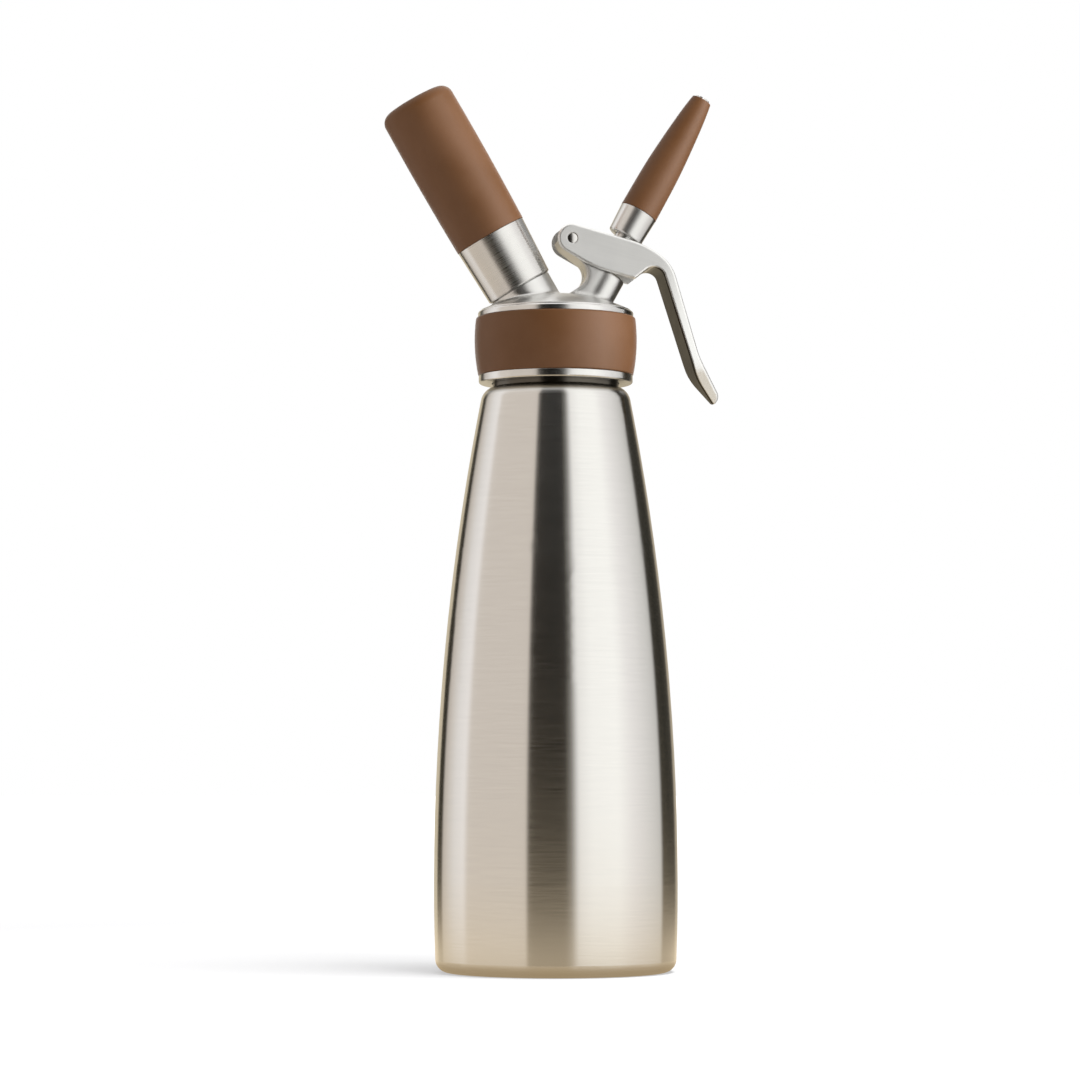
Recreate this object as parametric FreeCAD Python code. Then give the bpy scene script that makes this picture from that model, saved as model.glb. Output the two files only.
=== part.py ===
import FreeCAD
import Part
import math
import os

from FreeCAD import Vector

os.makedirs("parts", exist_ok=True)

# A one litre whipped cream dispenser, in millimetres. The origin is the centre of the bottle's
# foot, +Z is up, +X points to the nozzle and the lever, and the charger holder leans to -X.

# Clearances that several fits share
RUNNING_GAP = 0.05
WELD_GAP = 0.02
FACE_GAP = 0.05
SKIN_GAP = 0.1
SOFT_GAP = 0.3
THREAD_CLEARANCE = 0.3
OVERRUN = 1.0

# Bottle: deep-drawn steel, on a ring-shaped foot
BOTTLE_HEIGHT = 229.8
BOTTLE_R = 47.75
WIDEST_Z = 35.0
LOW_FLANK_R = 820.0
FOOT_CORNER_R = 5.0
FOOT_WIDTH = 6.4
FOOT_RECESS = 1.8
SHOULDER_WIDTH = 4.6
SHOULDER_DROP = 5.3
SHOULDER_ROLL_R = 6.5
FLANK_LENGTHS = 3
BOTTLE_WALL = 0.9

# Threaded neck ring, welded into the shoulder
NECK_R = 24.9
NECK_WALL = 2.7
NECK_RISE = 24.7
NECK_BAND = 4.0
NECK_TAIL = 3.07
THREAD_DEPTH = 0.8

# Head: one steel casting, its skirt screwed over the neck ring
LIP_GAP = 1.2
LIP_HEIGHT = 3.1
LIP_PROUD = 1.8
SKIRT_WALL = 3.4
BAND_OVER_ROOF = 0.1
BAND_HEIGHT = 2.4
BAND_PROUD = 2.1
STEP_WIDTH = 1.2
STEP_HEIGHT = 0.5
DOME_RISE = 6.6
ROOF_THICKNESS = 4.6
ROOF_LEDGE = 6.2
ROOF_RISE = 2.8
EDGE_ROUND = 0.9
GASKET_THICKNESS = 2.5
GASKET_WIDTH = 4.5

# Silicone grip ring in the head's groove
GRIP_BOTTOM_PROUD = 2.0
GRIP_MIDDLE_PROUD = 3.4
GRIP_TOP_PROUD = 2.9
GRIP_ROUND = 0.7

# Valve tower and nozzle share an axis that leans to +X. s runs along it from the tower's top.
NOZZLE_TILT = 29.3
TOWER_TOP_INSET = 9.7
TOWER_TOP_RISE = 15.67
TOWER_WALL = 1.4
TOWER_SHIFT = 1.35
TOWER_LENGTH = 16.0
TOWER_ROUND = 0.8
STEM_R = 4.0
STEM_WALL = 1.8
STEM_TOP = 23.2
STEM_PORT_R = 1.4
STEM_FLOOR = 1.0
SPRING_CHAMBER_DEPTH = 11.0
BUSH_WALL = 1.2
BUSH_FLANGE = 1.2
BUSH_LENGTH = 5.0
WIPER_HEIGHT = 1.6
O_RING_HEIGHT = 1.2
INLET_WIDTH = 2.4
INLET_HEIGHT = 4.0
SEAT_DEPTH = 24.0
SEAT_LAND = 1.4
SEAT_WALL = 0.8
VALVE_LEDGE = 1.4
VALVE_SEAL_THICKNESS = 2.5
VALVE_NUT_FLATS = 10.0
VALVE_NUT_HEIGHT = 3.4
VALVE_NUT_SIDES = 6

# Stem travel, spring and collar
STEM_TRAVEL = 3.96
SPRING_WIRE = 1.0
SPRING_TURNS = 3.0
SPRING_INNER_GAP = 0.5
SPRING_OUTER_GAP = 0.4
COLLAR_RIM = 1.0
COLLAR_THICKNESS = 2.0
COLLAR_FLOAT = 0.4

# Lever lug and web of the casting
PIN_BACK = 14.4
PIN_OVER_TOWER = 12.23
PIN_R = 2.1
PIN_DOME = 0.35
LUG_MARGIN = 0.15
LUG_R = 5.15
LUG_FLAT = 3.4
STOP_FACE_ANGLE = 138.0
HOOK_SHIFT = 0.03
HOOK_DROP = 13.64
HOOK_R = 6.07
HOOK_FOOT_ANGLE = -56.0
HOOK_FOOT_LENGTH = 7.0
WEB_MARGIN = 0.7
WEB_ROUND = 0.5
TOWER_FILLET = 1.2
PORT_FILLET = 2.0

# Lever, a bent bar over the pin, hollow under its top plate
LEVER_CHEEK = 1.6
CHEEK_GAP = 0.55
LEVER_TOP = 1.5
LEVER_END_R = 5.8
LEVER_TOP_ANGLE = -15.1
LEVER_LOWER_ANGLE = -29.0
LEVER_ELBOW = (34.66, -7.95, 4.55)
LEVER_TIP_DROP = 65.1
# Corners from the pin, each with its rounding: over the top, down the outside, back up the inside
LEVER_OUTLINE = [
    (30.01, -2.09, 36.0),
    (39.89, -9.25, 16.0),
    (51.16, -47.30, 30.0),
    (60.10, -61.35, 3.5),
    (57.90, -LEVER_TIP_DROP, 1.2),
    (49.46, -54.30, 22.0),
    LEVER_ELBOW,
    (24.90, -15.80, 0.8),
    (8.90, -11.60, 40.0),
]
LEVER_CAVITY_END = 27.8
LEVER_ELBOW_WALL = (4.0, 3.2)
LEVER_CAVITY_ANGLE = -60.0
LEVER_TIP_HALF = 1.3
LEVER_TIP_R = 2.0
LEVER_TAPER_LENGTH = 15.3
LEVER_SHOULDER_R = 12.0
LEVER_EDGE_ROUND = 1.0
NOSE_R = 1.8
NOSE_GAP = 0.1
STEM_SLOT_GAP = 0.6
STEM_SLOT_SWEEP = 3.4

# Nozzle: steel ferrule and tube with a toothed tip, silicone sleeve over the tube
FERRULE_OVERLAP = 7.0
FERRULE_WALL = 2.8
FERRULE_FLARE = 0.5
FERRULE_LENGTH = 11.3
FERRULE_ROUND = 0.8
NOZZLE_SLEEVE_LENGTH = 52.4
NOZZLE_SLEEVE_RADII = (7.68, 7.52, 7.23, 6.56, 5.66, 4.42)
NOZZLE_SLEEVE_END_R = 4.0
NOZZLE_SLEEVE_END_LENGTH = 2.4
NOZZLE_TUBE_ROOT_R = 5.4
NOZZLE_TUBE_TIP_R = 2.9
NOZZLE_BORE_R = 2.3
NOZZLE_TIP_PROUD = 0.9
NOZZLE_TOOTH_COUNT = 8
NOZZLE_TOOTH_DEPTH = 1.8
NOZZLE_TOOTH_WIDTH = 0.8
NOZZLE_SEAL_THICKNESS = 1.5

# Gas charger, and what pierces it. t runs along the holder's axis from the holder's rim.
CHARGER_R = 9.2
CHARGER_LENGTH = 65.5
CHARGER_NECK_R = 4.3
CHARGER_NECK_LENGTH = 8.5
CHARGER_SHOULDER_LENGTH = 9.0
CHARGER_END_R = 6.0
CHARGER_WALL = 1.6
CHARGER_BEND = 0.7
CHARGER_SEAT_T = 7.2
CAP_R = 3.2
CAP_DEPTH = 1.0
CAP_THICKNESS = 0.5
CHARGER_SEAL_THICKNESS = 2.3
CHARGER_SEAL_BORE_R = 2.2
PORT_BORE_GAP = 0.9
CARRIER_LENGTH = 9.5
CARRIER_SLOT = 1.2
NEEDLE_R = 0.9
NEEDLE_BORE_R = 0.36
NEEDLE_REACH = 4.6
NEEDLE_BASE = 4.0
NEEDLE_BEVEL = 40.0
PIERCE_GAP = 0.35
GAS_BORE_R = 0.8
CHECK_R = 3.2
CHECK_HEIGHT = 2.4
GAS_INLET_R = 6.0
GAS_INLET_T = -15.6

# Charger port and holder share an axis that leans to -X
HOLDER_TILT = -30.0
HOLDER_CORNER_INSET = 3.432
HOLDER_CORNER_RISE = 2.345
PORT_STEP = 0.75
PORT_LENGTH = 20.0
RIM_GAP = 0.35
SPIGOT_OVER_CHARGER = 1.3
SPIGOT_HEIGHT = 11.3
HOLDER_RIM_WALL = 2.65
HOLDER_WALL = 2.7
HOLDER_THREAD_RUNOUT = 1.2
HOLDER_STEEL_LENGTH = 23.2
HOLDER_CORE_ROUND = 3.0
HOLDER_END_WALL = 7.7
STEEL_PROUD = 2.3
SLEEVE_START_PROUD = 2.5
SLEEVE_MIDDLE_PROUD = 3.02
SLEEVE_END_PROUD = 2.85
SLEEVE_TOP_THICKNESS = 4.5
SLEEVE_BULGE_DROP = 27.2
SLEEVE_CORNER_R = 4.5
SLEEVE_DOME_R = 110.0

# Places and sizes that follow from the fits
LIP_Z = BOTTLE_HEIGHT + LIP_GAP
MOUTH_Z = BOTTLE_HEIGHT + NECK_RISE
ROOF_Z = MOUTH_Z + GASKET_THICKNESS + 2 * FACE_GAP
GROOVE_Z = LIP_Z + LIP_HEIGHT
BAND_Z = ROOF_Z + BAND_OVER_ROOF
DOME_Z = BAND_Z + BAND_HEIGHT + STEP_HEIGHT
SKIRT_R = NECK_R + THREAD_CLEARANCE
GROOVE_R = SKIRT_R + SKIRT_WALL
BAND_R = GROOVE_R + BAND_PROUD
STEP_R = BAND_R - STEP_WIDTH
TOWER_TOP = Vector(STEP_R - TOWER_TOP_INSET, 0, DOME_Z + TOWER_TOP_RISE)
PIN = TOWER_TOP + Vector(-PIN_BACK, 0, PIN_OVER_TOWER)
HOOK = PIN + Vector(HOOK_SHIFT, 0, -HOOK_DROP)
SPRING_R = STEM_R + SPRING_INNER_GAP + SPRING_WIRE / 2
SPRING_CHAMBER_R = SPRING_R + SPRING_WIRE / 2 + SPRING_OUTER_GAP
BUSH_R = STEM_R + BUSH_WALL
COLLAR_R = SPRING_CHAMBER_R + COLLAR_RIM
INLET_R = STEM_R + INLET_WIDTH
VALVE_SEAL_R = INLET_R + SEAT_LAND
VALVE_BORE_R = STEM_R - VALVE_LEDGE
LUG_THICKNESS = 2 * (COLLAR_R + LUG_MARGIN)
LEVER_WIDTH = LUG_THICKNESS + 2 * (CHEEK_GAP + LEVER_CHEEK)
FERRULE_START = STEM_TOP - FERRULE_OVERLAP
PORT_BORE_R = CHARGER_NECK_R + PORT_BORE_GAP
SPIGOT_R = CHARGER_R + SPIGOT_OVER_CHARGER
HOLDER_THREAD_R = SPIGOT_R + THREAD_CLEARANCE
HOLDER_RIM_R = HOLDER_THREAD_R + HOLDER_RIM_WALL
HOLDER_CORNER = Vector(HOLDER_CORNER_INSET - STEP_R, 0, DOME_Z + HOLDER_CORNER_RISE)
HOLDER_ACROSS = Vector(math.cos(math.radians(HOLDER_TILT)), 0, -math.sin(math.radians(HOLDER_TILT)))
HOLDER_RIM = HOLDER_CORNER + HOLDER_ACROSS * HOLDER_RIM_R
HOLDER_BORE_R = CHARGER_R + SOFT_GAP
HOLDER_CORE_R = HOLDER_BORE_R + HOLDER_WALL
HOLDER_BORE_END = CHARGER_SEAT_T + CHARGER_LENGTH + SOFT_GAP
HOLDER_CORE_END = HOLDER_BORE_END + HOLDER_END_WALL
HOLDER_LENGTH = HOLDER_CORE_END + SLEEVE_TOP_THICKNESS
ORIGIN = Vector(0, 0, 0)
X_AXIS = Vector(1, 0, 0)
Y_AXIS = Vector(0, 1, 0)
Z_AXIS = Vector(0, 0, 1)
FULL_TURN = 360.0


def at(x, z):
    """Point in the plane that the axes, the lever and both inclined parts share."""
    return Vector(x, 0, z)


def polar(angle, length=1.0):
    """Vector in that plane, its angle in degrees from +X towards +Z."""
    return at(length * math.cos(math.radians(angle)), length * math.sin(math.radians(angle)))


def line(a, b):
    return Part.LineSegment(a, b).toShape()


def arc(a, middle, b):
    return Part.Arc(a, middle, b).toShape()


def arc_about(centre, radius, start, end):
    """Arc from one angle to another, in degrees, going the way the angles run."""
    middle = (start + end) / 2
    return arc(centre + polar(start, radius), centre + polar(middle, radius), centre + polar(end, radius))


def crown(radius, z, rise):
    """Arc of a sphere centred on the axis, from its top on the axis down to a rim."""
    sphere_r = (radius ** 2 + rise ** 2) / (2 * rise)
    centre = at(0, z + rise - sphere_r)
    half_lean = math.degrees(math.asin(radius / abs(sphere_r))) / 2
    return arc(at(0, z + rise), centre + polar(90 - half_lean, sphere_r), at(radius, z))


def polygon(points):
    """Edges of a closed outline with straight sides."""
    following = points[1:] + points[:1]
    return [line(a, b) for a, b in zip(points, following)]


def face_of(edges):
    return Part.Face(Part.Wire(Part.__sortEdges__(edges)))


def turned(edges):
    """Solid of revolution about Z from the edges of a closed half section."""
    solid = face_of(edges).revolve(ORIGIN, Z_AXIS, FULL_TURN)
    return Part.Solid(solid) if solid.ShapeType == "Shell" else solid


def ring(inner, outer, low, high):
    """Plain ring or disc about Z."""
    return turned(polygon([at(inner, low), at(outer, low), at(outer, high), at(inner, high)]))


def rod(radius, low, high):
    return Part.makeCylinder(radius, high - low, at(0, low), Z_AXIS)


def across(radius, centre, width):
    """Cylinder along Y, centred on the plane of symmetry."""
    return Part.makeCylinder(radius, width, centre - Y_AXIS * (width / 2), Y_AXIS)


def plate(edges, width):
    """Closed outline pushed out to both sides of the plane of symmetry."""
    face = face_of(edges)
    face.translate(Y_AXIS * (-width / 2))
    return face.extrude(Y_AXIS * width)


def on_axis(shape, tilt, base):
    """Shape modelled about Z, moved to an inclined axis through a base point."""
    moved = shape.copy()
    moved.rotate(ORIGIN, Y_AXIS, tilt)
    moved.translate(base)
    return moved


def on_nozzle(shape):
    return on_axis(shape, NOZZLE_TILT, TOWER_TOP)


def on_holder(shape):
    return on_axis(shape, HOLDER_TILT, HOLDER_RIM)


def rounded_path(start, corners, end):
    """Straight sides from start to end, with an arc of its own radius at each corner."""
    edges = []
    here = start
    stops = [(at(x, z), radius) for x, z, radius in corners]
    targets = [corner for corner, radius in stops[1:]] + [end]
    for (corner, radius), target in zip(stops, targets):
        arrive = (corner - here).normalize()
        leave = (target - corner).normalize()
        half_turn = arrive.getAngle(leave) / 2
        reach = radius * math.tan(half_turn)
        first = corner - arrive * reach
        last = corner + leave * reach
        inward = (leave - arrive).normalize()
        crown = corner + inward * (radius / math.cos(half_turn) - radius)
        edges.append(line(here, first))
        edges.append(arc(first, crown, last))
        here = last
    edges.append(line(here, end))
    return edges


def one_solid(shape):
    """The only solid of a boolean result, with its needless seams removed."""
    clean = shape.removeSplitter()
    solids = clean.Solids
    if len(solids) != 1:
        raise ValueError("expected one solid, found %d" % len(solids))
    return solids[0]


def save(name, shape):
    shape.exportStep("parts/%s.step" % name)
    print("%-16s %9.1f mm3  valid %s" % (name, shape.Volume, shape.isValid()))


def bottle_outline(inset):
    """Half section of the bottle from its axis under the foot to the neck, moved in by a wall."""
    low_centre = at(BOTTLE_R - LOW_FLANK_R, WIDEST_Z)
    corner_lean = math.degrees(math.asin((WIDEST_Z - FOOT_CORNER_R) / (LOW_FLANK_R - FOOT_CORNER_R)))
    corner = low_centre + polar(-corner_lean, LOW_FLANK_R - FOOT_CORNER_R)
    recess_r = corner.x - FOOT_WIDTH
    rise = BOTTLE_HEIGHT - SHOULDER_DROP - WIDEST_Z
    shoulder_r = NECK_R + SHOULDER_WIDTH
    lean = 2 * math.degrees(math.atan((BOTTLE_R - shoulder_r) / rise))
    flank_r = rise / math.sin(math.radians(lean))
    shoulder = at(shoulder_r, BOTTLE_HEIGHT - SHOULDER_DROP)
    roll_r = SHOULDER_ROLL_R - inset
    roll_centre = shoulder - polar(lean, SHOULDER_ROLL_R)
    roll_end = math.degrees(math.acos((NECK_R - roll_centre.x) / roll_r))
    recess_floor = at(recess_r - FOOT_RECESS, FOOT_RECESS + inset)
    flank_centre = at(BOTTLE_R - flank_r, WIDEST_Z)
    step = lean / FLANK_LENGTHS
    flank = [arc_about(flank_centre, flank_r - inset, k * step, (k + 1) * step) for k in range(FLANK_LENGTHS)]
    return [
        line(at(0, recess_floor.z), recess_floor),
        line(recess_floor, at(recess_r, inset)),
        line(at(recess_r, inset), at(corner.x, inset)),
        arc_about(corner, FOOT_CORNER_R - inset, -90, -corner_lean),
        arc_about(low_centre, LOW_FLANK_R - inset, -corner_lean, 0),
    ] + flank + [arc_about(roll_centre, roll_r, lean, roll_end)]


def bottle_shell():
    outside = bottle_outline(0)
    inside = bottle_outline(BOTTLE_WALL)
    bottom = line(outside[0].firstVertex().Point, inside[0].firstVertex().Point)
    top = line(outside[-1].lastVertex().Point, inside[-1].lastVertex().Point)
    return turned(outside + inside + [bottom, top])


def neck_ring():
    bottom = BOTTLE_HEIGHT - NECK_TAIL
    bore_r = NECK_R - NECK_WALL
    band_top = BOTTLE_HEIGHT + NECK_BAND
    outer = NECK_R - WELD_GAP
    thread_r = NECK_R - THREAD_DEPTH
    chamfer = THREAD_DEPTH
    return one_solid(turned(polygon([
        at(bore_r, bottom),
        at(outer, bottom),
        at(outer, band_top),
        at(thread_r, band_top + chamfer),
        at(thread_r, MOUTH_Z - chamfer),
        at(thread_r - chamfer, MOUTH_Z),
        at(bore_r, MOUTH_Z),
    ])))


def head_gasket():
    low = MOUTH_Z + FACE_GAP
    outer = SKIRT_R - SOFT_GAP
    return ring(outer - GASKET_WIDTH, outer, low, low + GASKET_THICKNESS)


def head_blank():
    """Outside of the head, solid: lip, groove for the grip ring, band, step and dome."""
    top = at(0, DOME_Z + DOME_RISE)
    rim = at(STEP_R, DOME_Z)
    soft = EDGE_ROUND * (1 - math.sqrt(0.5))
    lip_r = GROOVE_R + LIP_PROUD
    section = [
        line(top, at(0, LIP_Z)),
        line(at(0, LIP_Z), at(lip_r - EDGE_ROUND, LIP_Z)),
        arc(at(lip_r - EDGE_ROUND, LIP_Z), at(lip_r - soft, LIP_Z + soft), at(lip_r, LIP_Z + EDGE_ROUND)),
        line(at(lip_r, LIP_Z + EDGE_ROUND), at(lip_r, GROOVE_Z)),
        line(at(lip_r, GROOVE_Z), at(GROOVE_R, GROOVE_Z)),
        line(at(GROOVE_R, GROOVE_Z), at(GROOVE_R, BAND_Z)),
        line(at(GROOVE_R, BAND_Z), at(BAND_R, BAND_Z)),
        line(at(BAND_R, BAND_Z), at(BAND_R, BAND_Z + BAND_HEIGHT - EDGE_ROUND)),
        arc(at(BAND_R, BAND_Z + BAND_HEIGHT - EDGE_ROUND),
            at(BAND_R - soft, BAND_Z + BAND_HEIGHT - soft),
            at(BAND_R - EDGE_ROUND, BAND_Z + BAND_HEIGHT)),
        line(at(BAND_R - EDGE_ROUND, BAND_Z + BAND_HEIGHT), at(STEP_R, BAND_Z + BAND_HEIGHT)),
        line(at(STEP_R, BAND_Z + BAND_HEIGHT), rim),
        crown(STEP_R, DOME_Z, DOME_RISE),
    ]
    return turned(section)


def head_inside():
    """Space under the head: threaded skirt, gasket seat and domed roof."""
    roof_top = DOME_Z + DOME_RISE - ROOF_THICKNESS
    roof_r = SKIRT_R - ROOF_LEDGE
    section = [
        line(at(0, roof_top), at(0, LIP_Z - EDGE_ROUND)),
        line(at(0, LIP_Z - EDGE_ROUND), at(SKIRT_R, LIP_Z - EDGE_ROUND)),
        line(at(SKIRT_R, LIP_Z - EDGE_ROUND), at(SKIRT_R, ROOF_Z)),
        line(at(SKIRT_R, ROOF_Z), at(roof_r, ROOF_Z)),
        line(at(roof_r, ROOF_Z), at(roof_r, roof_top - ROOF_RISE)),
        crown(roof_r, roof_top - ROOF_RISE, ROOF_RISE),
    ]
    return turned(section)


def hook_tangent():
    """Points on the lug and on the hook-shaped gap where one straight side touches both."""
    between = PIN - HOOK
    lean = math.degrees(math.atan2(between.z, between.x))
    spread = math.degrees(math.acos((LUG_R + HOOK_R) / between.Length))
    on_hook = HOOK + polar(lean - spread, HOOK_R)
    on_lug = PIN + polar(lean - spread + 180, LUG_R)
    return on_lug, on_hook


def web_and_lug():
    """Plate that joins lug, tower and dome, with the hook-shaped gap under the lug."""
    on_lug, on_hook = hook_tangent()
    hook_start = math.degrees(math.atan2(on_hook.z - HOOK.z, on_hook.x - HOOK.x))
    hook_end = HOOK + polar(HOOK_FOOT_ANGLE, HOOK_R)
    foot = hook_end + polar(HOOK_FOOT_ANGLE - 90, HOOK_FOOT_LENGTH)
    axis = polar(90 - NOZZLE_TILT)
    sideways = polar(-NOZZLE_TILT)
    deep = TOWER_TOP - axis * TOWER_LENGTH
    collar_side = TOWER_TOP - sideways * (COLLAR_R + WEB_MARGIN)
    lug_start = math.degrees(math.atan2(on_lug.z - PIN.z, on_lug.x - PIN.x)) + FULL_TURN
    lug_right = PIN + X_AXIS * LUG_R
    outline = [
        arc_about(PIN, LUG_R, lug_start, 0),
        line(lug_right, collar_side),
        line(collar_side, TOWER_TOP),
        line(TOWER_TOP, deep),
        line(deep, foot),
        line(foot, hook_end),
        arc_about(HOOK, HOOK_R, HOOK_FOOT_ANGLE, hook_start),
        line(on_hook, on_lug),
    ]
    web = plate(outline, LUG_THICKNESS)
    return web.makeFillet(WEB_ROUND, side_edges(web, LUG_THICKNESS / 2))


def lug_flat(angle):
    """Block that cuts the lug flat at its distance from the pin, facing an angle."""
    side = 4 * LUG_R
    block = Part.makeBox(side, 2 * LUG_THICKNESS, side, Vector(LUG_FLAT, -LUG_THICKNESS, -side / 2))
    block.rotate(ORIGIN, Y_AXIS, -angle)
    block.translate(PIN)
    return block


def tower():
    round_tower = rod(SPRING_CHAMBER_R + TOWER_WALL, -TOWER_LENGTH, 0)
    round_tower.translate(X_AXIS * TOWER_SHIFT)
    top_edges = [edge for edge in round_tower.Edges if abs(edge.CenterOfMass.z) < RUNNING_GAP]
    return on_nozzle(round_tower.makeFillet(TOWER_ROUND, top_edges))


def seal_bore_end():
    """Depth of the bore that holds bush, wiper and O-ring."""
    return -SPRING_CHAMBER_DEPTH - BUSH_LENGTH - WIPER_HEIGHT - O_RING_HEIGHT


def tower_bores():
    """Spring chamber, bush seat, wiper seat, inlet chamber and seat bore, from the top down."""
    chamber = rod(SPRING_CHAMBER_R, -SPRING_CHAMBER_DEPTH, 2 * TOWER_ROUND)
    seals = rod(BUSH_R + WELD_GAP, seal_bore_end(), 0)
    passage = rod(STEM_R + SOFT_GAP, -SEAT_DEPTH, 0)
    inlet = rod(INLET_R, -SEAT_DEPTH - 2 * INLET_R, -SEAT_DEPTH + INLET_HEIGHT)
    return chamber.fuse([seals, passage, inlet])


def port_bores():
    """Charger neck bore, check valve pocket and gas channel, from the top down."""
    pocket_top = NEEDLE_BASE - CARRIER_LENGTH
    neck = rod(PORT_BORE_R, pocket_top, SPIGOT_HEIGHT + OVERRUN)
    pocket = rod(CHECK_R + SKIN_GAP, pocket_top - CHECK_HEIGHT - SKIN_GAP, pocket_top)
    channel = rod(GAS_BORE_R, GAS_INLET_T - PORT_LENGTH, 0)
    return neck.fuse([pocket, channel])


def root_edges(shape):
    """Edges where port, tower and web rise from the dome: those of the port, those of the rest."""
    roots = []
    for edge in shape.Edges:
        spheres = [face for face in shape.ancestorsOfType(edge, Part.Face)
                   if face.Surface.TypeId == "Part::GeomSphere"]
        if len(spheres) == 1 and edge.BoundBox.ZLength > FACE_GAP:
            roots.append(edge)
    port = [edge for edge in roots if edge.CenterOfMass.x < 0]
    rest = [edge for edge in roots if edge.CenterOfMass.x > 0]
    return port, rest


def head_casting():
    blank = head_blank()
    port = on_holder(rod(HOLDER_RIM_R - PORT_STEP, -PORT_LENGTH, -RIM_GAP))
    outer = one_solid(blank.fuse([port, tower(), web_and_lug()]))
    outer = outer.makeFillet(TOWER_FILLET, root_edges(outer)[1])
    outer = outer.makeFillet(PORT_FILLET, root_edges(outer)[0])
    shell = outer.cut(head_inside())
    seat_boss = on_nozzle(rod(VALVE_SEAL_R + SEAT_WALL, -SEAT_DEPTH, -TOWER_LENGTH)).common(blank)
    inlet_boss = on_holder(rod(GAS_INLET_R, GAS_INLET_T, 0)).common(blank)
    spigot = on_holder(rod(SPIGOT_R, -PORT_LENGTH / 2, SPIGOT_HEIGHT))
    whole = shell.fuse([seat_boss, inlet_boss, spigot])
    top_facing = 90 + LEVER_TOP_ANGLE
    cutters = [
        on_nozzle(tower_bores()),
        on_holder(port_bores()),
        across(PIN_R + WELD_GAP, PIN, 2 * LUG_THICKNESS),
        lug_flat(top_facing),
        lug_flat(STOP_FACE_ANGLE),
    ]
    return one_solid(whole.cut(cutters))


def grip_ring():
    low = GROOVE_Z + SKIN_GAP
    high = BAND_Z - SKIN_GAP
    inner = GROOVE_R + SKIN_GAP
    bottom = at(GROOVE_R + GRIP_BOTTOM_PROUD, low)
    top = at(GROOVE_R + GRIP_TOP_PROUD, high)
    section = [
        line(at(inner, low), bottom),
        arc(bottom, at(GROOVE_R + GRIP_MIDDLE_PROUD, (low + high) / 2), top),
        line(top, at(inner, high)),
        line(at(inner, high), at(inner, low)),
    ]
    ring_solid = turned(section)
    rims = [edge for edge in ring_solid.Edges
            if edge.BoundBox.ZLength < FACE_GAP and edge.BoundBox.XMax > inner + FACE_GAP]
    return one_solid(ring_solid.makeFillet(GRIP_ROUND, rims))


def lever_pin():
    half = LEVER_WIDTH / 2 - PIN_DOME
    mirrored = crown(PIN_R, half, PIN_DOME).mirror(ORIGIN, Z_AXIS)
    pin = turned([
        line(at(0, -half - PIN_DOME), at(0, half + PIN_DOME)),
        crown(PIN_R, half, PIN_DOME),
        line(at(PIN_R, half), at(PIN_R, -half)),
        mirrored,
    ])
    pin.rotate(ORIGIN, X_AXIS, 90)
    pin.translate(PIN)
    return pin


def lever_outline():
    top = PIN + polar(90 + LEVER_TOP_ANGLE, LEVER_END_R)
    lower = PIN + polar(LEVER_LOWER_ANGLE - 90, LEVER_END_R)
    corners = [(PIN.x + x, PIN.z + z, radius) for x, z, radius in LEVER_OUTLINE]
    edges = rounded_path(top, corners, lower)
    edges.append(arc_about(PIN, LEVER_END_R, LEVER_LOWER_ANGLE - 90, LEVER_TOP_ANGLE + 90 - FULL_TURN))
    return edges


def lever_cavity():
    """Channel between the cheeks, under the top plate, open below and at the pivot end."""
    slope = polar(LEVER_TOP_ANGLE)
    normal = polar(90 + LEVER_TOP_ANGLE)
    roof = PIN + normal * (LEVER_END_R - LEVER_TOP)
    near = roof - slope * (3 * LEVER_END_R)
    far = roof + slope * LEVER_CAVITY_END
    elbow = PIN + at(LEVER_ELBOW[0] - LEVER_ELBOW_WALL[0], LEVER_ELBOW[1] - LEVER_ELBOW_WALL[1])
    deep = elbow + polar(LEVER_CAVITY_ANGLE, 3 * LEVER_END_R)
    below = at(near.x, deep.z)
    return plate(polygon([near, far, elbow, deep, below]), LEVER_WIDTH - 2 * LEVER_CHEEK)


def lever_front_form():
    """Front view of the handle: full width, drawn in to a small rounded tip."""
    half = LEVER_WIDTH / 2
    tip_z = PIN.z - LEVER_TIP_DROP
    top_z = PIN.z + 2 * LEVER_END_R
    corners = [
        (-half, tip_z + LEVER_TAPER_LENGTH, LEVER_SHOULDER_R),
        (-LEVER_TIP_HALF, tip_z, LEVER_TIP_R),
        (LEVER_TIP_HALF, tip_z, LEVER_TIP_R),
        (half, tip_z + LEVER_TAPER_LENGTH, LEVER_SHOULDER_R),
    ]
    edges = rounded_path(at(-half, top_z), corners, at(half, top_z))
    edges.append(line(at(half, top_z), at(-half, top_z)))
    face = face_of(edges)
    face.rotate(ORIGIN, Z_AXIS, 90)
    face.translate(X_AXIS * (PIN.x - 2 * LEVER_END_R))
    return face.extrude(X_AXIS * (LEVER_WIDTH + 2 * LEVER_TIP_DROP))


def side_edges(shape, half_width):
    """Edges of a plate's outline on both of its side faces."""
    return [edge for edge in shape.Edges
            if edge.BoundBox.YLength < FACE_GAP and abs(abs(edge.CenterOfMass.y) - half_width) < FACE_GAP]


def stem_slot():
    """Oblong hole for the stem in the top plate, longer on the side that the stem leans to."""
    radius = STEM_R + STEM_SLOT_GAP
    length = STEM_TOP
    right = rod(radius, 0, length)
    left = rod(radius, 0, length)
    left.translate(X_AXIS * -STEM_SLOT_SWEEP)
    middle = Part.makeBox(STEM_SLOT_SWEEP, 2 * radius, length, Vector(-STEM_SLOT_SWEEP, -radius, 0))
    return on_nozzle(right.fuse([left, middle]))


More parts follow.
